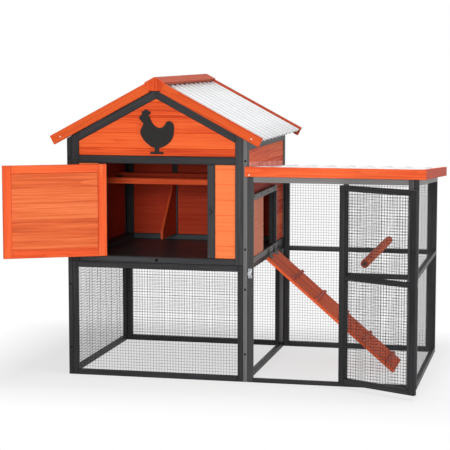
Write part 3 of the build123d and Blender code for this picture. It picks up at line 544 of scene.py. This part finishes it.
for node in paintedTimber["nodes"]:
    timberPiece(node, stains["charcoal"], paintedTimber["ease"])
for stain, nodes in stainedTimber["nodes"].items():
    for node in nodes:
        timberPiece(node, stains[stain], stainedTimber["ease"], stainedTimber["along"].get(node))
print("timber pieces:", len(paintedTimber["nodes"]) + sum(map(len, stainedTimber["nodes"].values())))


# Other finishes, on object coordinates
metalMarks = {"scratchShare": 0.4, "smearShare": 0.6, "reliefDeep": 0.0002}


def coatedMetal(name, look):
    finish, tree, surface = newFinish(name)
    place = objectPlace(tree)
    drawn = stretched(tree, place, look["scratch"])
    scratch = noiseOf(tree, drawn, detail=3.0, roughness=0.6).outputs["Fac"]
    smear = noiseOf(tree, place, scale=look["smear"]).outputs["Fac"]
    value = mathOf(tree, "MULTIPLY", smear, metalMarks["smearShare"])
    value = mathOf(tree, "MULTIPLY_ADD", scratch, metalMarks["scratchShare"], value)
    colours = (shade(*look["deep"]), shade(*look["pale"]))
    tree.links.new(rampOf(tree, value, list(zip(wideNoise, colours))), surface.inputs["Base Color"])
    tree.links.new(mapped(tree, value, *wideNoise, *look["gloss"]), surface.inputs["Roughness"])
    surface.inputs["Metallic"].default_value = look["metal"]
    surface.inputs["Specular IOR Level"].default_value = look["shine"]
    setRelief(tree, surface, scratch, look["bump"], metalMarks["reliefDeep"])
    return finish


zincPlate = {
    "pale": (196, 198, 202), "deep": (140, 142, 147), "gloss": (0.24, 0.42), "metal": 1.0, "shine": 0.5,
    "scratch": (60, 60, 600), "smear": 55.0, "bump": 0.12,
}
blackCoat = {
    "pale": (36, 36, 38), "deep": (24, 24, 26), "gloss": (0.34, 0.52), "metal": 0.0, "shine": 0.3,
    "scratch": (260, 260, 260), "smear": 40.0, "bump": 0.18,
}
screwCoat = dict(blackCoat, pale=(18, 18, 19), deep=(10, 10, 11), shine=0.1)
meshWire = {
    "pale": (52, 52, 54), "deep": (30, 30, 32), "gloss": (0.34, 0.50), "metal": 0.0, "shine": 0.2,
    "scratch": (400, 400, 400), "smear": 25.0, "bump": 0.10,
}
trayCoat = {
    "pale": (60, 68, 71), "deep": (46, 52, 55), "gloss": (0.36, 0.55), "metal": 0.0, "shine": 0.3,
    "scratch": (120, 14, 120), "smear": 9.0, "bump": 0.14,
}
plaquePaint = {
    "pale": (40, 38, 37), "deep": (30, 28, 27), "gloss": (0.50, 0.66), "metal": 0.0, "shine": 0.15,
    "scratch": (18, 200, 320), "smear": 22.0, "bump": 0.20,
}
capPlastic = {
    "pale": (240, 238, 232), "deep": (224, 221, 214), "gloss": (0.38, 0.52), "metal": 0.0, "shine": 0.4,
    "scratch": (200, 200, 200), "smear": 60.0, "bump": 0.06,
}
washerCoat = {
    "pale": (138, 58, 44), "deep": (104, 40, 30), "gloss": (0.40, 0.56), "metal": 0.0, "shine": 0.2,
    "scratch": (300, 300, 300), "smear": 80.0, "bump": 0.10,
}
metals = {
    "zinc": coatedMetal("zincPlate", zincPlate),
    "black": coatedMetal("blackCoat", blackCoat),
    "screw": coatedMetal("screwCoat", screwCoat),
    "wire": coatedMetal("meshWire", meshWire),
    "tray": coatedMetal("trayCoat", trayCoat),
    "plaque": coatedMetal("plaquePaint", plaquePaint),
    "cap": coatedMetal("capPlastic", capPlastic),
    "washer": coatedMetal("washerCoat", washerCoat),
}

# nodes that keep their own shape
keptNodes = {
    "zinc": ("front_bolt_rod", "run_bolt_keeper", "run_bolt_housing", "run_bolt_rod"),
    "black": ("front_hinges_fixed", "front_bolt_keeper", "run_hinges_fixed", "ramp_hinges_fixed",
              "front_door_hinges", "front_bolt_housing", "run_door_hinges", "ramp_hinges"),
    "tray": ("tray_pan",),
    "plaque": ("hen_plaque",),
}
for metal, names in keptNodes.items():
    for node in names:
        cadNodes[node].data.materials.clear()
        cadNodes[node].data.materials.append(metals[metal])
print("metal and paint finishes:", len(metals))


# the perch's washers are painted like the perch, and the screw heads on them are black
perchWasher = {"headRadius": 0.0068}


def washerPiece(node):
    mesh = cadNodes[node].data
    keys, shells = closedShells(mesh)
    whole = bmesh.new()
    for shell in shells:
        made = shellMesh(mesh, keys, shell)
        axis = sum((point.co for point in made.verts), Vector()) / len(made.verts)
        for face in made.faces:
            reach = max((point.co - axis).xz.length for point in face.verts)
            face.material_index = int(reach < perchWasher["headRadius"])
        part = bpy.data.meshes.new("washer")
        made.to_mesh(part)
        made.free()
        whole.from_mesh(part)
        bpy.data.meshes.remove(part)
    disc = bpy.data.meshes.new(pieceName(node))
    whole.to_mesh(disc)
    whole.free()
    disc.materials.append(metals["washer"])
    disc.materials.append(metals["black"])
    holder = bpy.data.objects.new(pieceName(node), disc)
    scene.collection.objects.link(holder)
    takePlace(holder, node)


washerPiece("perch_washers")


def sheetPlastic(name, look):
    finish, tree, surface = newFinish(name)
    place = objectPlace(tree)
    dust = noiseOf(tree, place, detail=3.0, scale=look["dust"]).outputs["Fac"]
    colours = (shade(*look["deep"]), shade(*look["pale"]))
    colour = rampOf(tree, dust, list(zip(closeNoise, colours)))
    # the trough colour is painted shade along the troughs of the corrugation
    crest = addNode(tree, "ShaderNodeAttribute", attribute_name="crest").outputs["Fac"]
    low = mapped(tree, crest, *look["troughShadeOver"], 1.0, 0.0)
    tree.links.new(mixOf(tree, low, colour, shade(*look["valley"])), surface.inputs["Base Color"])
    tree.links.new(mapped(tree, dust, *closeNoise, *look["gloss"]), surface.inputs["Roughness"])
    surface.inputs["Specular IOR Level"].default_value = look["shine"]
    fine = noiseOf(tree, place, scale=look["fine"]).outputs["Fac"]
    setRelief(tree, surface, fine, look["bump"], look["reliefDeep"])
    return finish


# the trough colour is painted shade in the corrugation's troughs
houseSheet = {
    "pale": (248, 249, 250), "deep": (241, 242, 243), "dust": 7.0,
    "valley": (172, 174, 179), "troughShadeOver": (-0.7, 0.4),  # share of the wave's swing
    "gloss": (0.16, 0.26), "shine": 0.6, "fine": 320.0, "bump": 0.08, "reliefDeep": 0.0003,
}
runSheet = dict(houseSheet, pale=(254, 254, 254), deep=(250, 250, 251), valley=(250, 250, 251))
sheets = {"house": sheetPlastic("houseSheet", houseSheet), "run": sheetPlastic("runSheet", runSheet)}


# Geometry trees. Inputs are named, and set by identifier before the first evaluation
def newTree(name, inputs, withPoints=False):
    tree = bpy.data.node_groups.new(name, "GeometryNodeTree")
    tree.interface.new_socket("Geometry", in_out="OUTPUT", socket_type="NodeSocketGeometry")
    if withPoints:
        tree.interface.new_socket("Points", in_out="INPUT", socket_type="NodeSocketGeometry")
    for label, kind in inputs:
        tree.interface.new_socket(label, in_out="INPUT", socket_type="NodeSocket" + kind)
    source = tree.nodes.new("NodeGroupInput")
    return tree, source.outputs


def closeTree(tree, geometry, finish):
    real = addNode(tree, "GeometryNodeRealizeInstances", {"Geometry": geometry}).outputs[0]
    coloured = addNode(tree, "GeometryNodeSetMaterial", {"Geometry": real, "Material": finish})
    addNode(tree, "NodeGroupOutput", {"Geometry": coloured.outputs[0]})


def placeOf(tree):
    return addNode(tree, "GeometryNodeInputPosition").outputs[0]


def moved(tree, geometry, **way):
    return addNode(tree, "GeometryNodeSetPosition", {"Geometry": geometry, **way}).outputs[0]


def grownObject(name, tree, values, mesh=None):
    holder = bpy.data.objects.new(name, mesh or bpy.data.meshes.new(name))
    scene.collection.objects.link(holder)
    grow = holder.modifiers.new("grow", "NODES")
    grow.node_group = tree
    for item in tree.interface.items_tree:
        if item.in_out == "INPUT" and item.name in values:
            grow[item.identifier] = values[item.name]
    plainMesh(holder)
    return holder


# Welded wire: upright wires, then level wires laid over them. Fall lowers the far end of the top
wireMesh = {
    "pitch": 0.0127, "wire": 0.0012, "waver": 0.0022,
    "waverScale": 9.0, "sides": 5,
    "lie": 0.45,  # how far each set lies off the middle, as a share of the wire
    "finerUprights": {"run_end_mesh": 0.0004},  # seen almost edge on, so thick ones would close it up
    "leastFall": 0.000001,  # so that a level top divides by no zero
}


def wireTree():
    tree, given = newTree("weldedWire", [
        ("Width", "Float"), ("Height", "Float"), ("Fall", "Float"), ("Pitch", "Float"), ("Wire", "Float"),
        ("Upright", "Float"), ("Waver", "Float"), ("Seed", "Float"), ("Finish", "Material")])
    width, height, fall = given["Width"], given["Height"], given["Fall"]
    pitch, wire = given["Pitch"], given["Wire"]

    def family(reach, run, level):
        count = mathOf(tree, "FLOOR", mathOf(tree, "DIVIDE", reach, pitch))
        spare = mathOf(tree, "SUBTRACT", reach, mathOf(tree, "MULTIPLY", count, pitch))
        first = mathOf(tree, "MULTIPLY", spare, 0.5)
        beads = mathOf(tree, "ADD", mathOf(tree, "FLOOR", mathOf(tree, "DIVIDE", run, pitch)), 2.0)
        lie = mathOf(tree, "MULTIPLY", wire, wireMesh["lie"] if level else -wireMesh["lie"])
        across, along = ("Z", "X") if level else ("X", "Z")
        places = addNode(tree, "GeometryNodeMeshLine", {
            "Count": mathOf(tree, "ADD", count, 1.0), "Offset": pointOf(tree, **{across: pitch}),
            "Start Location": pointOf(tree, **{across: first, "Y": lie})}).outputs[0]
        end = pointOf(tree, **{along: run})
        line = addNode(tree, "GeometryNodeCurvePrimitiveLine", {"End": end}).outputs[0]
        cut = addNode(tree, "GeometryNodeResampleCurve", {"Curve": line, "Count": beads}).outputs[0]
        laid = addNode(tree, "GeometryNodeInstanceOnPoints", {"Points": places, "Instance": cut})
        return addNode(tree, "GeometryNodeRealizeInstances", {"Geometry": laid.outputs[0]}).outputs[0]

    upright = partsOf(tree, placeOf(tree))
    area = mathOf(tree, "MULTIPLY", width, height)
    drop = mathOf(tree, "DIVIDE", mathOf(tree, "MULTIPLY", upright["X"], fall), area)
    shorter = mathOf(tree, "MULTIPLY", upright["Z"], mathOf(tree, "SUBTRACT", 1.0, drop))
    under = pointOf(tree, X=upright["X"], Y=upright["Y"], Z=shorter)
    uprights = moved(tree, family(width, height, False), Position=under)
    level = partsOf(tree, placeOf(tree))
    below = mathOf(tree, "SUBTRACT", height, level["Z"])
    left = mathOf(tree, "DIVIDE", below, mathOf(tree, "MAXIMUM", fall, wireMesh["leastFall"]))
    kept = mathOf(tree, "MULTIPLY", level["X"], mathOf(tree, "MINIMUM", left, 1.0))
    short = pointOf(tree, X=kept, Y=level["Y"], Z=level["Z"])
    levels = moved(tree, family(height, width, True), Position=short)

    wander = addNode(tree, "ShaderNodeTexNoise", {
        "Vector": placeOf(tree), "W": given["Seed"], "Scale": wireMesh["waverScale"], "Detail": 1.0,
    }, noise_dimensions="4D").outputs["Color"]
    about = {0: vectorOf(tree, "SUBTRACT", wander, noiseCentre), "Scale": given["Waver"]}
    nudge = addNode(tree, "ShaderNodeVectorMath", about, operation="SCALE").outputs[0]
    joined = addNode(tree, "GeometryNodeJoinGeometry")
    for lines, thick in ((uprights, given["Upright"]), (levels, wire)):
        ring = addNode(tree, "GeometryNodeCurvePrimitiveCircle", {
            "Resolution": wireMesh["sides"], "Radius": mathOf(tree, "MULTIPLY", thick, 0.5)}).outputs[0]
        drawn = addNode(tree, "GeometryNodeCurveToMesh", {
            "Curve": moved(tree, lines, Offset=nudge), "Profile Curve": ring, "Fill Caps": True}).outputs[0]
        tree.links.new(drawn, joined.inputs[0])
    smooth = addNode(tree, "GeometryNodeSetShadeSmooth", {"Geometry": joined.outputs[0]}).outputs[0]
    closeTree(tree, smooth, given["Finish"])
    return tree


weldedWire = wireTree()


# flat panels of a net node, each as low corner, way along it, width and height
def netPanels(node):
    mesh = cadNodes[node].data
    panels = []
    for shell in closedShells(mesh)[1]:
        corners = [mesh.vertices[i].co for face in shell for i in face]
        low = min(corners, key=lambda point: (round(point.z, 4), round(point.x, 4), round(point.y, 4)))
        far = max(corners, key=lambda point: (Vector(point.xy) - Vector(low.xy)).length)
        way = Vector((far.x - low.x, far.y - low.y, 0))
        panels.append((low, way.normalized(), way.length, max(p.z for p in corners) - low.z))
    return panels


def wirePiece(node, fall=0.0):
    parts = []
    middle = sum(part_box(node), Vector()) / 2
    for number, (low, way, width, height) in enumerate(netPanels(node)):
        values = {
            "Width": width, "Height": height, "Fall": fall if number else 0.0,
            "Pitch": wireMesh["pitch"], "Wire": wireMesh["wire"],
            "Upright": wireMesh["finerUprights"].get(node, wireMesh["wire"]),
            "Waver": wireMesh["waver"], "Seed": float(number + len(node)), "Finish": metals["wire"],
        }
        part = grownObject(pieceName(node) + str(number), weldedWire, values)
        out = way.cross(Vector((0, 0, 1)))
        base = low + out * (middle - low).dot(out)
        turn = Matrix((way, -out, Vector((0, 0, 1)))).transposed().to_4x4()
        part.data.transform(Matrix.Translation(base) @ turn)
        parts.append(part)
    whole = parts[0]
    if len(parts) > 1:
        with bpy.context.temp_override(active_object=whole, selected_editable_objects=parts):
            bpy.ops.object.join()
    whole.name = pieceName(node)
    whole.data.name = whole.name
    takePlace(whole, node)


low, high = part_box("run_end_mesh")
wires = {  # fall of the upper panel's top
    "left_wall_mesh": 0.0, "front_lower_mesh": 0.0, "back_lower_mesh": 0.0, "run_front_mesh": 0.0,
    "run_end_mesh": runRoofSlope * (high.y - low.y), "run_back_mesh": 0.0, "run_door_mesh": 0.0,
}
for node, fall in wires.items():
    wirePiece(node, fall)
print("wire nets:", len(wires))


# Corrugated sheets: a grid lifted in waves, then given its thickness
corrugation = {
    "deep": 0.014, "thick": 0.0012, "houseWaves": 11, "runWaves": 8, "roofPitch": 28.1,  # degrees
    "waveSteps": 20.0, "rows": 4,
}


def waveTree():
    tree, given = newTree("corrugatedSheet", [
        ("Width", "Float"), ("Length", "Float"), ("Waves", "Int"), ("Swing", "Float"),
        ("Finish", "Material")])
    across = mathOf(tree, "MULTIPLY_ADD", given["Waves"], corrugation["waveSteps"], 1.0)
    grid = addNode(tree, "GeometryNodeMeshGrid", {
        "Size X": given["Width"], "Size Y": given["Length"],
        "Vertices X": across, "Vertices Y": corrugation["rows"]}).outputs[0]
    share = mathOf(tree, "DIVIDE", partsOf(tree, placeOf(tree))["X"], given["Width"])
    turn = mathOf(tree, "MULTIPLY", mathOf(tree, "ADD", share, 0.5), given["Waves"])
    wave = mathOf(tree, "SINE", mathOf(tree, "MULTIPLY", turn, math.tau))
    lift = pointOf(tree, Z=mathOf(tree, "MULTIPLY", wave, given["Swing"]))
    crest = {"Geometry": grid, "Name": "crest", "Value": wave}
    marked = addNode(tree, "GeometryNodeStoreNamedAttribute", crest, data_type="FLOAT", domain="POINT")
    waved = moved(tree, marked.outputs[0], Offset=lift)
    smooth = addNode(tree, "GeometryNodeSetShadeSmooth", {"Geometry": waved}).outputs[0]
    closeTree(tree, smooth, given["Finish"])
    return tree


corrugated = waveTree()


# along the waves is y; start is the corner at y low, x low and the underside
def sheetPiece(node, waves, finish, start, across, along, width, length):
    swing = (corrugation["deep"] - corrugation["thick"]) / 2
    start = start + across * corrugation["thick"] / 2
    width -= corrugation["thick"]  # the wall's own thickness stands out at the sides
    values = {"Width": width, "Length": length, "Waves": waves, "Swing": swing, "Finish": finish}
    holder = grownObject(pieceName(node), corrugated, values)
    up = across.cross(along)
    turn = Matrix((across, along, up)).transposed().to_4x4()
    centre = start + across * width / 2 + along * length / 2 + up * corrugation["deep"] / 2
    holder.data.transform(Matrix.Translation(centre) @ turn)
    wall = holder.modifiers.new("thickness", "SOLIDIFY")
    wall.thickness = corrugation["thick"]
    wall.offset = 0.0
    plainMesh(holder)
    takePlace(holder, node)


pitch = math.radians(corrugation["roofPitch"])
low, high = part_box("right_roof_sheet")
slope = (high.x - low.x - corrugation["deep"] * math.sin(pitch)) / math.cos(pitch)
rise = corrugation["deep"] * math.cos(pitch)
sheetPiece("right_roof_sheet", corrugation["houseWaves"], sheets["house"],
           Vector((low.x, high.y, high.z - rise)), Vector((0, -1, 0)),
           Vector((math.cos(pitch), 0, -math.sin(pitch))), high.y - low.y, slope)
low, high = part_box("left_roof_sheet")
foot = low.x + corrugation["deep"] * math.sin(pitch)
sheetPiece("left_roof_sheet", corrugation["houseWaves"], sheets["house"],
           Vector((foot, high.y, low.z)), Vector((0, -1, 0)),
           Vector((math.cos(pitch), 0, math.sin(pitch))), high.y - low.y, slope)
low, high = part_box("run_roof_sheet")
tilt = math.atan(runRoofSlope)
reach = (high.y - low.y - corrugation["deep"] * math.sin(tilt)) / math.cos(tilt)
sheetPiece("run_roof_sheet", corrugation["runWaves"], sheets["run"],
           Vector((low.x, low.y, high.z - corrugation["deep"] * math.cos(tilt))), Vector((1, 0, 0)),
           Vector((0, math.cos(tilt), -math.sin(tilt))), high.x - low.x, reach)
print("roof sheets: 3")


# Screws: one domed head with a cross slot, laid on every point of a small mesh
screwHead = {
    "radius": 0.004, "rise": 0.0016, "rim": 0.0004, "sides": 24, "inner": 0.75,  # metres and shares
    "slot": (0.0007, 0.0023), "slotDeep": 0.0010, "slotTaper": 0.8,
}
screwSizes = {"panel": 1.2, "roofCap": 0.8}  # times that head


def headShape(settings):
    made = bmesh.new()
    radius, rise, rim = settings["radius"], settings["rise"], settings["rim"]
    slim, long = settings["slot"]

    def dome(x, y):
        return rim + (rise - rim) * (1 - (x * x + y * y) / radius ** 2)

    turns = [math.tau * i / settings["sides"] for i in range(settings["sides"])]

    def ringAt(reach, z):
        return [made.verts.new((reach * math.cos(turn), reach * math.sin(turn), z)) for turn in turns]

    inner = settings["inner"] * radius
    foot, edge, wide = ringAt(radius, 0.0), ringAt(radius, rim), ringAt(inner, dome(inner, 0))
    for lower, upper in ((foot, edge), (edge, wide)):
        for i in range(len(turns)):
            k = (i + 1) % len(turns)
            made.faces.new((lower[i], lower[k], upper[k], upper[i]))
    cross = [(slim, slim), (slim, long), (-slim, long), (-slim, slim), (-long, slim), (-long, -slim),
             (-slim, -slim), (-slim, -long), (slim, -long), (slim, -slim), (long, -slim), (long, slim)]
    top = [made.verts.new((x, y, dome(x, y))) for x, y in cross]
    taper, base = settings["slotTaper"], rise - settings["slotDeep"]
    floor = [made.verts.new((x * taper, y * taper, base)) for x, y in cross]
    for i in range(len(cross)):
        k = (i + 1) % len(cross)
        made.faces.new((top[i], top[k], floor[k], floor[i]))
    made.faces.new(floor)
    made.edges.ensure_lookup_table()
    slotEdge = [made.edges.get((top[i], top[(i + 1) % len(top)])) for i in range(len(top))]
    wideEdge = [made.edges.get((wide[i], wide[(i + 1) % len(wide)])) for i in range(len(wide))]
    bmesh.ops.triangle_fill(made, use_beauty=True, edges=slotEdge + wideEdge)
    made.faces.new(list(reversed(foot)))
    bmesh.ops.recalc_face_normals(made, faces=made.faces[:])
    shape = bpy.data.meshes.new("screwHead")
    made.to_mesh(shape)
    made.free()
    return shape


def screwTree(head):
    tree, given = newTree("screwsOnPoints", [("Size", "Float"), ("Finish", "Material")], withPoints=True)

    def carried(label, kind):
        return addNode(tree, "GeometryNodeInputNamedAttribute", {"Name": label}, data_type=kind).outputs[0]

    facing = {"Vector": carried("facing", "FLOAT_VECTOR")}
    aimed = addNode(tree, "FunctionNodeAlignRotationToVector", facing, axis="Z").outputs[0]
    twist = {"Axis": (0, 0, 1), "Angle": carried("twist", "FLOAT")}
    spin = addNode(tree, "FunctionNodeAxisAngleToRotation", twist).outputs[0]
    turned = addNode(tree, "FunctionNodeRotateRotation", {"Rotation": aimed, "Rotate By": spin},
                     rotation_space="LOCAL").outputs[0]
    shape = addNode(tree, "GeometryNodeObjectInfo", {"Object": head}).outputs["Geometry"]
    size = pointOf(tree, X=given["Size"], Y=given["Size"], Z=given["Size"])
    laid = addNode(tree, "GeometryNodeInstanceOnPoints", {
        "Points": given["Points"], "Instance": shape, "Rotation": turned, "Scale": size}).outputs[0]
    closeTree(tree, laid, given["Finish"])
    return tree


headHolder = bpy.data.objects.new("screwHead", headShape(screwHead))
screwsOnPoints = screwTree(headHolder)


def screwPiece(name, places, size, finish):
    luck = random.Random(name)
    mesh = bpy.data.meshes.new(name)
    mesh.from_pydata([place for place, facing in places], [], [])
    store = mesh.attributes.new("facing", "FLOAT_VECTOR", "POINT")
    store.data.foreach_set("vector", [c for place, facing in places for c in facing])
    store = mesh.attributes.new("twist", "FLOAT", "POINT")
    store.data.foreach_set("value", [luck.uniform(0, math.pi) for place in places])
    return grownObject(name, screwsOnPoints, {"Size": size, "Finish": finish}, mesh)


# heads stand where the node's discs are, facing away from the middle of the coop
def discPlaces(node):
    mesh = cadNodes[node].data
    places = []
    for shell in closedShells(mesh)[1]:
        points = [mesh.vertices[i].co for face in shell for i in face]
        low = Vector([min(p[i] for p in points) for i in range(3)])
        high = Vector([max(p[i] for p in points) for i in range(3)])
        middle = (low + high) / 2
        seat, facing = (high.y, (0, -1, 0)) if middle.y < 0 else (low.y, (0, 1, 0))
        places.append((Vector((middle.x, seat, middle.z)), Vector(facing)))
    return places


piece = screwPiece("panelScrews", discPlaces("panel_screws"), screwSizes["panel"], metals["screw"])
takePlace(piece, "panel_screws")
piece = screwPiece("roofScrews", discPlaces("roof_screws"), screwSizes["roofCap"], metals["cap"])
takePlace(piece, "roof_screws")

# screws along the upper track of the slide door
trackScrews = {"shares": (0.10, 0.37, 0.63, 0.90), "drop": 0.011, "size": 1.2}
low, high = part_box("pop_door_tracks")
rows = [low.y + (high.y - low.y) * share for share in trackScrews["shares"]]
places = [(Vector((high.x, y, high.z - trackScrews["drop"])), Vector((1, 0, 0))) for y in rows]
piece = screwPiece("trackScrews", places, trackScrews["size"], metals["screw"])
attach(piece, bodyOf["pop_door_tracks"])


# screws on hinge leaves and bolt plates, as shares of the plate's length and width from its middle
plateScrews = {
    "size": 0.62, "thick": 0.002,
    "least": 0.0004,  # smallest flat face that takes screws, square metres
    "fewest": 40,  # corners of a plate with its knuckle or loop, more than a pin has
    "leaf": ((-0.34, 0.0), (0.0, 0.0), (0.34, 0.0)),
    "keeper": ((-0.36, 0.0), (0.36, 0.0)),
    "housing": ((-0.06, 0.38), (0.06, -0.38)),
}
screwedNodes = {
    "frontHingeScrews": ("front_hinges_fixed", "leaf"),
    "frontDoorHingeScrews": ("front_door_hinges", "leaf"),
    "runHingeScrews": ("run_hinges_fixed", "leaf"),
    "runDoorHingeScrews": ("run_door_hinges", "leaf"),
    "rampHingeScrews": ("ramp_hinges_fixed", "leaf"),
    "rampBoardHingeScrews": ("ramp_hinges", "leaf"),
    "frontKeeperScrews": ("front_bolt_keeper", "keeper"),
    "runKeeperScrews": ("run_bolt_keeper", "keeper"),
    "frontBoltScrews": ("front_bolt_housing", "housing"),
    "runBoltScrews": ("run_bolt_housing", "housing"),
}


# heads lie on the side of the plate where its knuckle or loop stands
def platePlaces(node, marks):
    mesh = cadNodes[node].data
    keys, shells = closedShells(mesh)
    places = []
    for shell in shells:
        made = shellMesh(mesh, keys, shell)
        flat = max(made.faces, key=lambda face: face.calc_area())
        if len(made.verts) > plateScrews["fewest"] and flat.calc_area() > plateScrews["least"]:
            centre = flat.calc_center_bounds()
            facing = flat.normal.copy()
            bulk = sum((point.co for point in made.verts), Vector()) / len(made.verts)
            thick = 0.0
            if (bulk - centre).dot(facing) < 0:
                facing = -facing
                thick = plateScrews["thick"]
            edge = max(flat.edges, key=lambda edge: edge.calc_length())
            long = edge.verts[1].co - edge.verts[0].co
            across = facing.cross(long).normalized()
            reach = [across.dot(point.co) for point in flat.verts]
            wide = across * (max(reach) - min(reach))
            places += [(centre + long * a + wide * b + facing * thick, facing.copy()) for a, b in marks]
        made.free()
    return places


for name, (node, marks) in screwedNodes.items():
    piece = screwPiece(name, platePlaces(node, plateScrews[marks]), plateScrews["size"], metals["black"])
    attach(piece, bodyOf[node])
bpy.data.objects.remove(headHolder)
print("screws laid")


# Studio: pale floor that keeps the shadow, white around it, soft lamps in front
studio = {
    "floorSize": 400.0, "floorColour": (252, 252, 252), "floorRough": 0.9,
    "floorLift": (0.66, 1.0),  # share of plain white under the object and away from it
    "liftOver": 0.45,  # metres
    "ambient": 0.24,
    "lamps": {  # place, aimed at, size, watts
        "keySoftbox": ((0.5, -7.2, 1.9), (0.0, 0.0, 0.6), 2.0, 250.0),
        "topSoftbox": ((1.4, -0.4, 4.6), (0.1, 0.0, 0.6), 3.0, 85.0),
        "rightSoftbox": ((5.2, -2.6, 2.2), (0.3, 0.0, 0.6), 2.2, 48.0),
    },
}


def seenShare(tree):
    ray = addNode(tree, "ShaderNodeLightPath").outputs
    seen = mathOf(tree, "MAXIMUM", ray["Is Camera Ray"], ray["Is Glossy Ray"])
    return mathOf(tree, "MAXIMUM", seen, ray["Is Transmission Ray"])


def addStudio(settings):
    world = bpy.data.worlds.new("studioWhite")
    world.use_nodes = True
    tree = world.node_tree
    tree.nodes.clear()
    strength = mapped(tree, seenShare(tree), 0.0, 1.0, settings["ambient"], 1.0)
    white = addNode(tree, "ShaderNodeBackground", {"Color": (1, 1, 1, 1), "Strength": strength})
    addNode(tree, "ShaderNodeOutputWorld", {"Surface": white.outputs[0]})
    scene.world = world

    half = settings["floorSize"] / 2
    mesh = bpy.data.meshes.new("paleFloor")
    corners = [(-half, -half, 0), (half, -half, 0), (half, half, 0), (-half, half, 0)]
    mesh.from_pydata(corners, [], [(0, 1, 2, 3)])
    floor = bpy.data.objects.new("paleFloor", mesh)
    finish, tree, surface = newFinish("paleFloor")
    surface.inputs["Base Color"].default_value = shade(*settings["floorColour"])
    surface.inputs["Roughness"].default_value = settings["floorRough"]
    surface.inputs["Specular IOR Level"].default_value = 0.0
    glow = addNode(tree, "ShaderNodeEmission", {"Color": (1, 1, 1, 1), "Strength": 1.0})
    apart = vectorOf(tree, "SUBTRACT", objectPlace(tree), (cadBox[0] + cadBox[1]) / 2)
    past = vectorOf(tree, "SUBTRACT", vectorOf(tree, "ABSOLUTE", apart), (cadBox[1] - cadBox[0]) / 2)
    outside = vectorOf(tree, "MAXIMUM", past, (0, 0, 0))
    away = addNode(tree, "ShaderNodeVectorMath", {0: outside}, operation="LENGTH").outputs["Value"]
    lift = mapped(tree, away, 0.0, settings["liftOver"], *settings["floorLift"])
    share = mathOf(tree, "MULTIPLY", seenShare(tree), lift)
    blend = addNode(tree, "ShaderNodeMixShader", {0: share, 1: surface.outputs[0], 2: glow.outputs[0]})
    out = next(node for node in tree.nodes if node.type == "OUTPUT_MATERIAL")
    tree.links.new(blend.outputs[0], out.inputs["Surface"])
    mesh.materials.append(finish)
    scene.collection.objects.link(floor)

    for name, (place, aim, size, watts) in settings["lamps"].items():
        lamp = bpy.data.lights.new(name, "AREA")
        lamp.shape = "SQUARE"
        lamp.size = size
        lamp.energy = watts
        holder = bpy.data.objects.new(name, lamp)
        holder.location = place
        holder.rotation_euler = (Vector(aim) - Vector(place)).to_track_quat("-Z", "Y").to_euler()
        scene.collection.objects.link(holder)


addStudio(studio)
scene.view_settings.view_transform = "Standard"
print("studio set")
